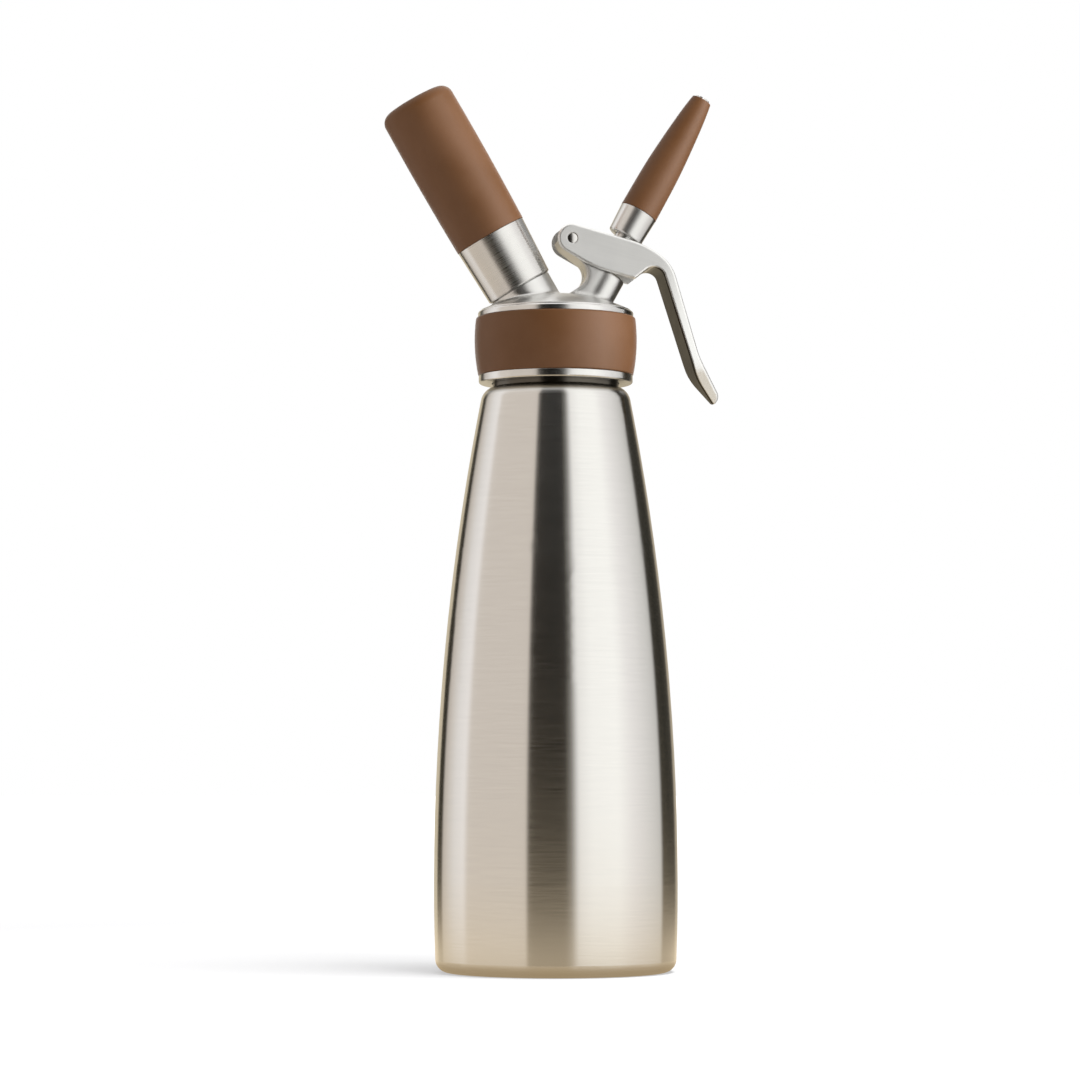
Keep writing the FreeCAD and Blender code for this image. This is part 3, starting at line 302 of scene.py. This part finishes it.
def thread_ridge(name, radius, depth, pitch, low, high, material, place=Matrix.Identity(4)):
    """Ridge of a screw thread round a shank, rounded over its crest and fading out at both ends."""
    turns = (high - low) / pitch
    mesh = bmesh.new()
    loops = []
    for k in range(int(turns * THREAD_STEPS) + 1):
        turn = k / THREAD_STEPS
        angle = 2 * math.pi * turn
        fade = min(1.0, turn / THREAD_RUNOUT, (turns - turn) / THREAD_RUNOUT)
        rise = depth * math.sin(max(fade, THREAD_LEAST) * math.pi / 2)
        section = [(out * rise, along) for out, along in RIDGE]
        loop = []
        for out, along in [(-THREAD_SUNK, -RIDGE_FOOT), *section, (-THREAD_SUNK, RIDGE_FOOT)]:
            reach = radius + out
            spot = Vector((reach * math.cos(angle), reach * math.sin(angle), low + pitch * (turn + along)))
            loop.append(mesh.verts.new(place @ spot))
        loops.append(loop)
    for near, far in zip(loops, loops[1:]):
        for a in range(len(near)):
            b = (a + 1) % len(near)
            mesh.faces.new((near[a], near[b], far[b], far[a]))
    mesh.faces.new(reversed(loops[0]))
    mesh.faces.new(loops[-1])
    return smooth_piece(name, mesh, material)


# Heights on the neck ring where the painted shade under the head's lip starts and where it is full
NECK_SHADE_STARTS = HEAD_BOTTOM + 0.0035
NECK_SHADE_FULL = HEAD_BOTTOM + 0.0005

neck_steel = steel("neck ring steel", NECK_STEEL, roughness=0.30, anisotropy=0.8, lines=4200.0,
                   relief=0.04, lip_shade=(NECK_SHADE_STARTS, NECK_SHADE_FULL))
give("neck_ring", neck_steel)
neck_thread = thread_ridge("neck_thread", NECK_THREAD_R, NECK_THREAD_DEPTH, NECK_THREAD_PITCH,
                           NECK_THREAD_LOW, NECK_THREAD_HIGH, neck_steel)
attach(neck_thread, "bottle")

# Head: one investment casting in stainless steel. Its dome, tower and lug are blasted and then
# polished by hand to a soft satin, and its lip and step are turned and polished brighter.

HEAD_STEEL = (0.74, 0.735, 0.72)
CAST_HOLLOWS = 210.0
CAST_CLOUDS = 70.0
CAST_GRIT = 3600.0
CAST_TONES = (0.35, 0.65)
CAST_CLOUD_GLOSS = (-0.05, 0.07)
CAST_GRIT_GLOSS = (-0.03, 0.03)
CAST_RELIEF = 0.0002
SOFT_EDGE = 0.0004
GROUND_EDGE = 0.0028
FULLY_GROUND = 0.7
TOOL_RUNOUT = 0.0004
TURNED_GLOSS = 0.62
CROWN_BLEND = 0.008
# Direction that the faces under the lever's handle turn to, how far they must turn to take the painted shade,
# and where along the lever it starts and is full
SHADED_SIDE = (-0.8, 0.0, -0.6)
SHADED_FACING = (0.35, 0.6)
UNDERSIDE_SHADE_STARTS = 0.014
UNDERSIDE_SHADE_FULL = 0.008


def cast_skin():
    """Satin of a hand-polished casting: shallow hollows, cloudy gloss and a fine grain."""
    group, given, out = finish_group(
        "cast skin", [("Roughness", "Float", 0.28)],
        [("Shade", "Float"), ("Roughness", "Float"), ("Height", "Float")])
    place = place_on(group)
    hollows = noise(group, place, CAST_HOLLOWS, detail=3.0, roughness=0.55)
    cloud = noise(group, place, CAST_CLOUDS, detail=4.0, roughness=0.6)
    grit = noise(group, place, CAST_GRIT, detail=2.0)
    uneven = maths(group, "ADD", swing(group, cloud, *CAST_CLOUD_GLOSS), swing(group, grit, *CAST_GRIT_GLOSS))
    fill(group, out, {
        "Shade": spread(group, cloud, *CAST_TONES),
        "Roughness": maths(group, "ADD", given["Roughness"], uneven),
        "Height": weighed(group, hollows, 0.9, grit, 0.12)})
    return group


CAST_SKIN = cast_skin()


def satin(name, colour, skin, roughness, relief, contrast=0.05, turned_below=None, soft_near=None,
          ground_and_shaded_past=None):
    """Steel with an even satin from one of the skin groups.

    turned_below is the height under which it was turned and polished, and soft_near a place and reach
    where its corners were ground away. The last argument gives the place past which its faces are ground
    to a slope, that slope, and a near-black colour of painted shade on the faces there that turn down and
    left."""
    material, tree, shader = new_finish(name)
    marks = node(tree, "ShaderNodeGroup", {"Roughness": roughness}, node_tree=skin).outputs
    place = place_on(tree)
    parts = split(tree, place)
    width = SOFT_EDGE
    if soft_near:
        corner, reach = soft_near
        away = distance(tree, place, corner)
        width = spread(tree, away, reach, reach * FULLY_GROUND, SOFT_EDGE, GROUND_EDGE)
    edges = node(tree, "ShaderNodeGroup", {"Width": width}, node_tree=WORN_EDGES).outputs
    worn_and_shaded = worn_colour(tree, colour, contrast, marks["Shade"], edges["Mask"])
    smooth = worn_gloss(tree, marks["Roughness"], edges["Mask"])
    normal = edges["Normal"]
    strength = relief
    if turned_below:
        runs_out = turned_below - TOOL_RUNOUT
        polish = spread(tree, parts[2], turned_below, runs_out, 1.0, TURNED_GLOSS)
        smooth = maths(tree, "MULTIPLY", smooth, polish)
        strength = spread(tree, parts[2], turned_below, runs_out, relief, 0.0)
    if ground_and_shaded_past:
        start, slope, underside_shade = ground_and_shaded_past
        past = maths(tree, "SMOOTH_MAX", maths(tree, "SUBTRACT", parts[0], start), 0.0, CROWN_BLEND)
        drop = maths(tree, "MULTIPLY", past, -math.tan(slope))
        normal = node(tree, "ShaderNodeBump", {"Height": drop, "Normal": normal, "Strength": 1.0,
                                               "Distance": 1.0}).outputs[0]
        # Painted shade: a near-black tone on the faces under the handle that turn down and to the left
        facing = agreement(tree, node(tree, "ShaderNodeTexCoord").outputs["Normal"], SHADED_SIDE)
        shaded_underside = maths(tree, "MULTIPLY", spread(tree, facing, *SHADED_FACING),
                      spread(tree, parts[0], start - UNDERSIDE_SHADE_STARTS, start - UNDERSIDE_SHADE_FULL))
        worn_and_shaded = blended(tree, shaded_underside, worn_and_shaded, underside_shade)
    bump = node(tree, "ShaderNodeBump", {"Height": marks["Height"], "Normal": normal,
                                         "Strength": strength, "Distance": CAST_RELIEF}).outputs[0]
    fill(tree, shader, {"Base Color": worn_and_shaded, "Metallic": 1.0, "Roughness": smooth, "Normal": bump})
    return material


STEP_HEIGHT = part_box("grip_ring")[1][2] + 0.0028
TOWER_FOOT = (0.0135, 0.0, 0.2665)
TOWER_FOOT_REACH = 0.016

give("head_casting", satin("cast head steel", HEAD_STEEL, CAST_SKIN, roughness=0.31, relief=0.06,
                           turned_below=STEP_HEIGHT, soft_near=(TOWER_FOOT, TOWER_FOOT_REACH)))

# Grip ring: a band of brown silicone stretched into the groove of the head, so that a wet hand
# can unscrew it. Moulded silicone is matt, with a fine even grain and a little dust on it.

SILICONE = (0.114, 0.0470, 0.0155)
DUST = (0.55, 0.50, 0.45)
DUST_SHARE = 0.05
DUST_SPECKS = 900.0
SPECK_EDGE = (0.10, 0.04)
FLOW_MARKS = 46.0
FLOW_TONES = (0.35, 0.65)
FLOW_GLOSS = (-0.03, 0.03)
GRAIN_GLOSS = (-0.06, 0.06)
# Value and saturation of the two tints that the flow marks show, against the colour itself
FLOW_TINTS = ((0.93, 1.03), (1.07, 0.98))
RUBBER_IOR = 1.36


def moulded_skin():
    """Skin of moulded rubber or plastic: fine grain, faint flow marks and a trace of dust."""
    group, given, out = finish_group(
        "moulded skin",
        [("Colour", "Color", (0.2, 0.2, 0.2, 1)), ("Roughness", "Float", 0.55), ("Grain", "Float", 2600.0)],
        [("Colour", "Color"), ("Roughness", "Float"), ("Height", "Float")])
    place = place_on(group)
    grain = noise(group, place, given["Grain"], detail=2.0)
    flow = noise(group, place, FLOW_MARKS, detail=3.0, roughness=0.55)
    specks = node(group, "ShaderNodeTexVoronoi", {"Vector": place, "Scale": DUST_SPECKS},
                  feature="F1").outputs["Distance"]
    tints = []
    for value, saturation in FLOW_TINTS:
        tints.append(node(group, "ShaderNodeHueSaturation", {
            "Color": given["Colour"], "Value": value, "Saturation": saturation}).outputs[0])
    mottled = blended(group, spread(group, flow, *FLOW_TONES), *tints)
    dusty = maths(group, "MULTIPLY", spread(group, specks, *SPECK_EDGE), DUST_SHARE)
    uneven = maths(group, "ADD", swing(group, grain, *GRAIN_GLOSS), swing(group, flow, *FLOW_GLOSS))
    fill(group, out, {
        "Colour": blended(group, dusty, mottled, DUST),
        "Roughness": maths(group, "ADD", given["Roughness"], uneven),
        "Height": weighed(group, grain, 1.0, flow, 0.4)})
    return group


MOULDED_SKIN = moulded_skin()


def moulded(name, colour, roughness, relief, grain=2600.0):
    """Matt rubber or plastic with the grain of its mould."""
    material, tree, shader = new_finish(name)
    skin = node(tree, "ShaderNodeGroup", {"Colour": (*colour, 1.0), "Roughness": roughness, "Grain": grain},
                node_tree=MOULDED_SKIN).outputs
    edges = node(tree, "ShaderNodeGroup", {"Width": SOFT_EDGE}, node_tree=WORN_EDGES).outputs
    bump = node(tree, "ShaderNodeBump", {"Height": skin["Height"], "Normal": edges["Normal"],
                                         "Strength": relief, "Distance": FINE_RELIEF}).outputs[0]
    fill(tree, shader, {
        "Base Color": skin["Colour"], "Metallic": 0.0, "Roughness": skin["Roughness"], "IOR": RUBBER_IOR,
        "Normal": bump})
    return material


silicone = moulded("brown silicone", SILICONE, roughness=0.52, relief=0.12)
give("grip_ring", silicone)

# Lever: cast in steel and brushed along its length, hollow under its arm. The pin that carries it
# goes through both cheeks, and its turned, domed ends are left bright.

LEVER_STEEL = (0.91, 0.91, 0.90)
# Painted shade on the faces under the handle that turn down and to the left
LEVER_UNDERSIDE_SHADE = (0.055, 0.048, 0.034)
PIN_STEEL = (0.70, 0.69, 0.67)
PIN_PLACE = (0.0054, 0, 0.288)
ARM_SLOPE = math.radians(-15.1)
HANDLE_DROP = math.radians(-70)
HANDLE_START = 0.047
HANDLE_SLOPE = math.radians(9)
HANDLE_BEND = (0.040, 0.050)
BRUSH_STRETCH = (60.0, 1900.0, 1900.0)
BRUSH_CLOUDS = 90.0
BRUSH_TONES = (0.38, 0.62)
BRUSH_GLOSS = (-0.02, 0.02)
BRUSH_CLOUD_GLOSS = (-0.03, 0.03)


def drawn_lines():
    """Brush marks along the lever, level with its arm and then down its handle."""
    group, given, out = finish_group(
        "drawn lines", [("Roughness", "Float", 0.3)],
        [("Shade", "Float"), ("Roughness", "Float"), ("Height", "Float")])
    place = place_on(group)
    marks = []
    for lean in (ARM_SLOPE, HANDLE_DROP):
        level = node(group, "ShaderNodeVectorRotate", {"Vector": place, "Angle": lean},
                     rotation_type="Y_AXIS").outputs[0]
        stretched = node(group, "ShaderNodeMapping", {"Vector": level, "Scale": BRUSH_STRETCH}).outputs[0]
        marks.append(noise(group, stretched, scale=1.0, detail=3.0, roughness=0.6))
    down = spread(group, split(group, place)[0], *HANDLE_BEND)
    mix = node(group, "ShaderNodeMix", {"Factor": down}, data_type="FLOAT")
    group.links.new(marks[0], mix.inputs[2])
    group.links.new(marks[1], mix.inputs[3])
    line = mix.outputs[0]
    cloud = noise(group, place, BRUSH_CLOUDS, detail=4.0)
    uneven = maths(group, "ADD", swing(group, line, *BRUSH_GLOSS), swing(group, cloud, *BRUSH_CLOUD_GLOSS))
    fill(group, out, {
        "Shade": spread(group, weighed(group, line, 0.4, cloud, 0.6), *BRUSH_TONES),
        "Roughness": maths(group, "ADD", given["Roughness"], uneven),
        "Height": weighed(group, line, 0.5, cloud, 0.8)})
    return group


give("lever", satin("lever steel", LEVER_STEEL, drawn_lines(), roughness=0.40, relief=0.08, contrast=0.025,
                    ground_and_shaded_past=(HANDLE_START, HANDLE_SLOPE, LEVER_UNDERSIDE_SHADE)))
give("lever_pin", steel("pin steel", PIN_STEEL, roughness=0.20, anisotropy=0.0, lean=math.pi / 2,
                        foot=PIN_PLACE, lines=5000.0, relief=0.03, edge=0.0002))

# Valve in the tower: a hollow turned stem with a thrust collar pressed on, its plastic bush, the
# wiper and O-ring that seal it, and the seal and nut that close it from inside the head.

SPOUT_STEEL = (0.75, 0.745, 0.73)
SEAL_RUBBER = (0.06, 0.056, 0.052)
BUSH_PLASTIC = (0.82, 0.80, 0.76)
SPOUT_LEAN = math.radians(29.3)
TOWER_TOP = (0.0198, 0, 0.27577)
IN_TOWER = Matrix.Translation(TOWER_TOP) @ Matrix.Rotation(SPOUT_LEAN, 4, "Y")
STEM_R = 0.004
STEM_THREAD_DEPTH = 0.00022
STEM_THREAD_PITCH = 0.0015
STEM_THREAD_LOW = 0.0174
STEM_THREAD_HIGH = 0.0222

spout_steel = steel("spout steel", SPOUT_STEEL, roughness=0.32, anisotropy=0.9, lean=SPOUT_LEAN,
                    foot=TOWER_TOP, lines=5200.0, contrast=0.03, relief=0.03)
seal_rubber = moulded("seal rubber", SEAL_RUBBER, roughness=0.5, relief=0.08)
for name in ("valve_stem", "thrust_collar", "valve_nut"):
    give(name, spout_steel)
for name in ("head_gasket", "stem_wiper", "stem_o_ring", "valve_seal"):
    give(name, seal_rubber)
give("guide_bush", moulded("bush plastic", BUSH_PLASTIC, roughness=0.38, relief=0.05, grain=900.0))
stem_thread = thread_ridge("stem_thread", STEM_R, STEM_THREAD_DEPTH, STEM_THREAD_PITCH,
                           STEM_THREAD_LOW, STEM_THREAD_HIGH, spout_steel, IN_TOWER)
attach(stem_thread, "stem")

# Valve spring: three working turns of drawn spring wire, wound cold round a mandrel. It stands on
# the bush, pushes the collar up to the lever, and shortens as the lever goes down; the coil here is
# built at rest and stays with the head.

SPRING_WIRE = (0.60, 0.60, 0.59)
SPRING_R = 0.005
WIRE_R = 0.0005
SPRING_LOW = -0.0092
SPRING_HIGH = 0.00376
SPRING_TURNS = 3
SPRING_STEPS = 48
WIRE_SIDES = 14

coil = bmesh.new()
wire_rings = []
for k in range(SPRING_TURNS * SPRING_STEPS + 1):
    angle = 2 * math.pi * k / SPRING_STEPS
    height = SPRING_LOW + (SPRING_HIGH - SPRING_LOW) * k / (SPRING_TURNS * SPRING_STEPS)
    outward = Vector((math.cos(angle), math.sin(angle), 0))
    wire_ring = []
    for side in range(WIRE_SIDES):
        around = 2 * math.pi * side / WIRE_SIDES
        rise = Vector((0, 0, height + WIRE_R * math.sin(around)))
        wire_ring.append(coil.verts.new(IN_TOWER @ (outward * (SPRING_R + WIRE_R * math.cos(around)) + rise)))
    wire_rings.append(wire_ring)
for near, far in zip(wire_rings, wire_rings[1:]):
    for a in range(WIRE_SIDES):
        b = (a + 1) % WIRE_SIDES
        coil.faces.new((near[a], near[b], far[b], far[a]))
coil.faces.new(reversed(wire_rings[0]))
coil.faces.new(wire_rings[-1])
spring_wire = satin("spring wire", SPRING_WIRE, CAST_SKIN, roughness=0.24, relief=0.06)
valve_coil = smooth_piece("valve_coil", coil, spring_wire)
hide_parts("valve_spring")
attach(valve_coil, "head")
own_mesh(valve_coil)

# Spout: a turned ferrule and tube in one, its tip sawn into eight teeth that shape the cream,
# with a silicone sleeve over the tube. A rubber washer seals it on the stem.

give("nozzle_core", spout_steel)
give("nozzle_sleeve", silicone)
give("nozzle_seal", seal_rubber)

# Charger port: its spigot carries a rolled thread for the holder. A slotted carrier inside holds
# the hollow needle and the seal, and a small rubber cup below them lets gas in and nothing out.

HOLDER_STEEL = (0.74, 0.73, 0.71)
HOLDER_LEAN = math.radians(-30)
HOLDER_RIM = (-0.01442, 0, 0.26917)
IN_HOLDER = Matrix.Translation(HOLDER_RIM) @ Matrix.Rotation(HOLDER_LEAN, 4, "Y")
SPIGOT_R = 0.0105
SPIGOT_THREAD_DEPTH = 0.0002
SPIGOT_THREAD_PITCH = 0.0025
SPIGOT_THREAD_LOW = 0.0014
SPIGOT_THREAD_HIGH = 0.0103

holder_steel = steel("holder steel", HOLDER_STEEL, roughness=0.28, anisotropy=0.95, lean=HOLDER_LEAN,
                     foot=HOLDER_RIM, lines=4200.0, contrast=0.03, relief=0.02)
for name in ("needle_carrier", "piercing_needle"):
    give(name, holder_steel)
for name in ("charger_seal", "check_valve"):
    give(name, seal_rubber)
spigot_thread = thread_ridge("spigot_thread", SPIGOT_R, SPIGOT_THREAD_DEPTH, SPIGOT_THREAD_PITCH,
                             SPIGOT_THREAD_LOW, SPIGOT_THREAD_HIGH, holder_steel, IN_HOLDER)
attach(spigot_thread, "head")

# Holder: a deep steel cup, turned and belt-brushed, with a silicone sleeve pulled over it. The
# gas charger inside is a zinc-plated steel bottle, closed by a thin pressed cap.

ZINC_PLATE = (0.62, 0.62, 0.62)

give("holder_shell", holder_steel)
give("holder_sleeve", silicone)
plated = satin("plated charger", ZINC_PLATE, CAST_SKIN, roughness=0.30, relief=0.05)
for name in ("charger_bottle", "charger_cap"):
    give(name, plated)

# Studio: a white table and backdrop, and a room whose two tall soft lights leave a dark gap on the
# camera's side. A key light stands at the right, the table and the silicone have lights of their
# own, and the camera is that of the photograph.

CAMERA_PLACE = (-0.214594, -1.410786, 0.085)
CAMERA_TURN = (math.radians(93.38), 0.0, math.radians(-8.4))
CAMERA_LENS = 120.9
CAMERA_SENSOR = 36.0
WHITE = (1.0, 1.0, 1.0)
OVERHEAD_TONE = (1.16, 1.15, 1.13)
OVERHEAD_TILT = 0.3
OVERHEAD_RISE = (0.55, 0.85)
UNDER_TONE = (0.09, 0.078, 0.055)
UNDER_FALL = (-0.55, -0.72)
# Tone of the room against the angle round the object from the camera's side, in degrees to the right
ROOM_TONES = (
    # warm wall behind the object, and a black screen beside it
    (-180, (0.62, 0.54, 0.40)),
    (-153, (0.62, 0.54, 0.40)),
    (-150, (0.03, 0.027, 0.02)),
    (-138.5, (0.03, 0.027, 0.02)),
    # left light, brightest along its far side
    (-135, (0.62, 0.56, 0.50)),
    (-128, (0.73, 0.67, 0.61)),
    (-112, (0.95, 0.92, 0.90)),
    (-99, (1.05, 1.01, 0.99)),
    (-92, (0.77, 0.70, 0.635)),
    (-28.5, (0.77, 0.70, 0.635)),
    # dark gap that the camera looks out of
    (-26.5, (0.03, 0.026, 0.02)),
    (-20, (0.008, 0.006, 0.004)),
    (0, (0.004, 0.004, 0.003)),
    (9, (0.012, 0.010, 0.008)),
    # right light, brightest in its middle
    (15, (0.22, 0.21, 0.19)),
    (22, (1.06, 1.05, 1.03)),
    (35, (1.22, 1.22, 1.19)),
    (62, (1.26, 1.26, 1.23)),
    (80, (1.06, 1.04, 1.03)),
    (100, (0.88, 0.865, 0.85)),
    (118, (0.72, 0.71, 0.69)),
    # black screen, and the warm wall again
    (122, (0.045, 0.04, 0.03)),
    (136, (0.03, 0.028, 0.022)),
    (152, (0.06, 0.055, 0.045)),
    (160, (0.45, 0.39, 0.30)),
    (180, (0.50, 0.43, 0.31)),
)

scene = bpy.context.scene
scene.view_settings.view_transform = "Standard"
camera_data = bpy.data.cameras.new("camera")
camera_data.lens = CAMERA_LENS
camera_data.sensor_width = CAMERA_SENSOR
camera = bpy.data.objects.new("camera", camera_data)
camera.location = CAMERA_PLACE
camera.rotation_euler = CAMERA_TURN
scene.collection.objects.link(camera)
scene.camera = camera

studio = bpy.data.worlds.new("studio")
studio.use_nodes = True
scene.world = studio
room = studio.node_tree
for spare in list(room.nodes):
    room.nodes.remove(spare)
heading = node(room, "ShaderNodeTexCoord").outputs["Generated"]
from_camera = node(room, "ShaderNodeVectorRotate", {"Vector": heading, "Angle": -CAMERA_TURN[2]},
                   rotation_type="Z_AXIS").outputs[0]
right, away, up = split(room, from_camera)[:3]
round_object = maths(room, "ARCTAN2", right, maths(room, "MULTIPLY", away, -1.0))
ramp = node(room, "ShaderNodeValToRGB", {"Fac": spread(room, round_object, -math.pi, math.pi)})
stops = ramp.color_ramp.elements
stops.remove(stops[1])
for count, (degrees, tone) in enumerate(ROOM_TONES):
    position = (degrees + 180) / 360
    stop = stops.new(position) if count else stops[0]
    stop.position = position
    stop.color = (*tone, 1.0)
above = maths(room, "ADD", up, maths(room, "MULTIPLY", away, OVERHEAD_TILT))
overhead = blended(room, spread(room, above, *OVERHEAD_RISE), ramp.outputs["Color"], OVERHEAD_TONE)
lit = blended(room, spread(room, up, *UNDER_FALL), overhead, UNDER_TONE)
lit_room = node(room, "ShaderNodeBackground", {"Color": lit, "Strength": 1.0})
backdrop = node(room, "ShaderNodeBackground", {"Color": (*WHITE, 1.0), "Strength": 1.0})
seen = node(room, "ShaderNodeMixShader", {
    0: node(room, "ShaderNodeLightPath").outputs["Is Camera Ray"],
    1: lit_room.outputs[0],
    2: backdrop.outputs[0]})
node(room, "ShaderNodeOutputWorld", {"Surface": seen.outputs[0]})


def soft_light(name, place, target, size, power, colour=WHITE, only=(), never=(), gloss_only=False):
    """Square soft light, kept to some pieces or off others. It either lights them or shows in their gloss."""
    data = bpy.data.lights.new(name, "AREA")
    data.size = size
    data.energy = power
    data.color = colour
    lamp = bpy.data.objects.new(name, data)
    lamp.location = place
    lamp.rotation_euler = (Vector(target) - Vector(place)).to_track_quat("-Z", "Y").to_euler()
    lamp.visible_camera = False
    lamp.visible_glossy = gloss_only
    lamp.visible_diffuse = not gloss_only
    scene.collection.objects.link(lamp)
    if only or never:
        chosen = bpy.data.collections.new(name + " pieces")
        for piece in (*only, *never):
            chosen.objects.link(piece)
        for entry in chosen.collection_objects:
            entry.light_linking.link_state = "INCLUDE" if only else "EXCLUDE"
        lamp.light_linking.receiver_collection = chosen


def disc(name, radius, height, material):
    """Flat round stage piece."""
    mesh = bmesh.new()
    bmesh.ops.create_circle(mesh, cap_ends=True, segments=STAGE_SIDES, radius=radius)
    bmesh.ops.translate(mesh, verts=mesh.verts, vec=(0, 0, height))
    made = bpy.data.meshes.new(name)
    mesh.to_mesh(made)
    mesh.free()
    made.materials.append(material)
    piece = bpy.data.objects.new(name, made)
    scene.collection.objects.link(piece)
    return piece


TABLE_R = 6.0
STAGE_SIDES = 96
TABLE_MIDDLE = (0.0, 0.0, 0.0)
TABLE_PAINT = (0.22, 0.22, 0.22, 1.0)
TABLE_NEAR = (0.455, 0.46, 0.475)
TABLE_FADE = (0.45, 1.6)

table_white, tree, paint = new_finish("table white")
from_foot = distance(tree, place_on(tree), TABLE_MIDDLE)
fill(tree, paint, {
    "Base Color": TABLE_PAINT, "Roughness": 0.9, "Emission Strength": 1.0,
    "Emission Color": blended(tree, spread(tree, from_foot, *TABLE_FADE), TABLE_NEAR, WHITE)})
table = disc("table", TABLE_R, 0.0, table_white)
table.visible_glossy = False
table.visible_shadow = False

BOTTLE_MIDDLE = (0.0, 0.0, 0.15)
HEAD_MIDDLE = (0.0, 0.0, 0.27)
silicone_pieces = [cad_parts[name] for name in ("grip_ring", "holder_sleeve", "nozzle_sleeve")]
soft_light("key light", (1.15, -0.5, 1.05), BOTTLE_MIDDLE, size=0.7, power=32.0, colour=(0.97, 0.98, 1.0),
           never=[table])
soft_light("table light", (0.30, -0.28, 1.30), TABLE_MIDDLE, size=0.7, power=44.0, only=[table])
soft_light("silicone light", (1.25, -0.75, 0.45), HEAD_MIDDLE, size=1.3, power=26.0, colour=(0.92, 1.0, 1.02),
           only=silicone_pieces, gloss_only=True)
soft_light("rim light", (0.20, 1.45, 0.40), HEAD_MIDDLE, size=1.6, power=14.0,
           only=silicone_pieces, gloss_only=True)

# Glow of the table: a painted reflection, a warm disc seen only in the steel, which gives the foot of the
# object a warm tone. It is darker under the foot, a painted shade of the object, and reaches further behind
# it.

GLOW_R = 0.58
GLOW_HEIGHT = -0.0002
GLOW_MIDDLE = (0.0, 0.07, 0.0)
# Painted shade of the object in the glow, next to its foot
GLOW_AT_FOOT = (0.46, 0.35, 0.21)
GLOW_AROUND = (0.90, 0.745, 0.53)
GLOW_RING = (0.046, 0.080)
GLOW_FADE = (0.50, 0.115)
GLOW_FALL = 1.2

glow = bpy.data.materials.new("table glow")
glow.use_nodes = True
tree = glow.node_tree
tree.nodes.remove(tree.nodes["Principled BSDF"])
spot = place_on(tree)
from_foot = distance(tree, spot, TABLE_MIDDLE)
from_middle = distance(tree, spot, GLOW_MIDDLE)
strength = maths(tree, "POWER", spread(tree, from_middle, *GLOW_FADE), GLOW_FALL)
colour = blended(tree, spread(tree, from_foot, *GLOW_RING), GLOW_AT_FOOT, GLOW_AROUND)
mixed = node(tree, "ShaderNodeMixShader", {
    0: strength,
    1: node(tree, "ShaderNodeBsdfTransparent").outputs[0],
    2: node(tree, "ShaderNodeEmission", {"Color": colour, "Strength": 1.0}).outputs[0]})
tree.links.new(mixed.outputs[0], tree.nodes["Material Output"].inputs["Surface"])
table_glow = disc("table_glow", GLOW_R, GLOW_HEIGHT, glow)
table_glow.visible_camera = False
table_glow.visible_diffuse = False
table_glow.visible_shadow = False
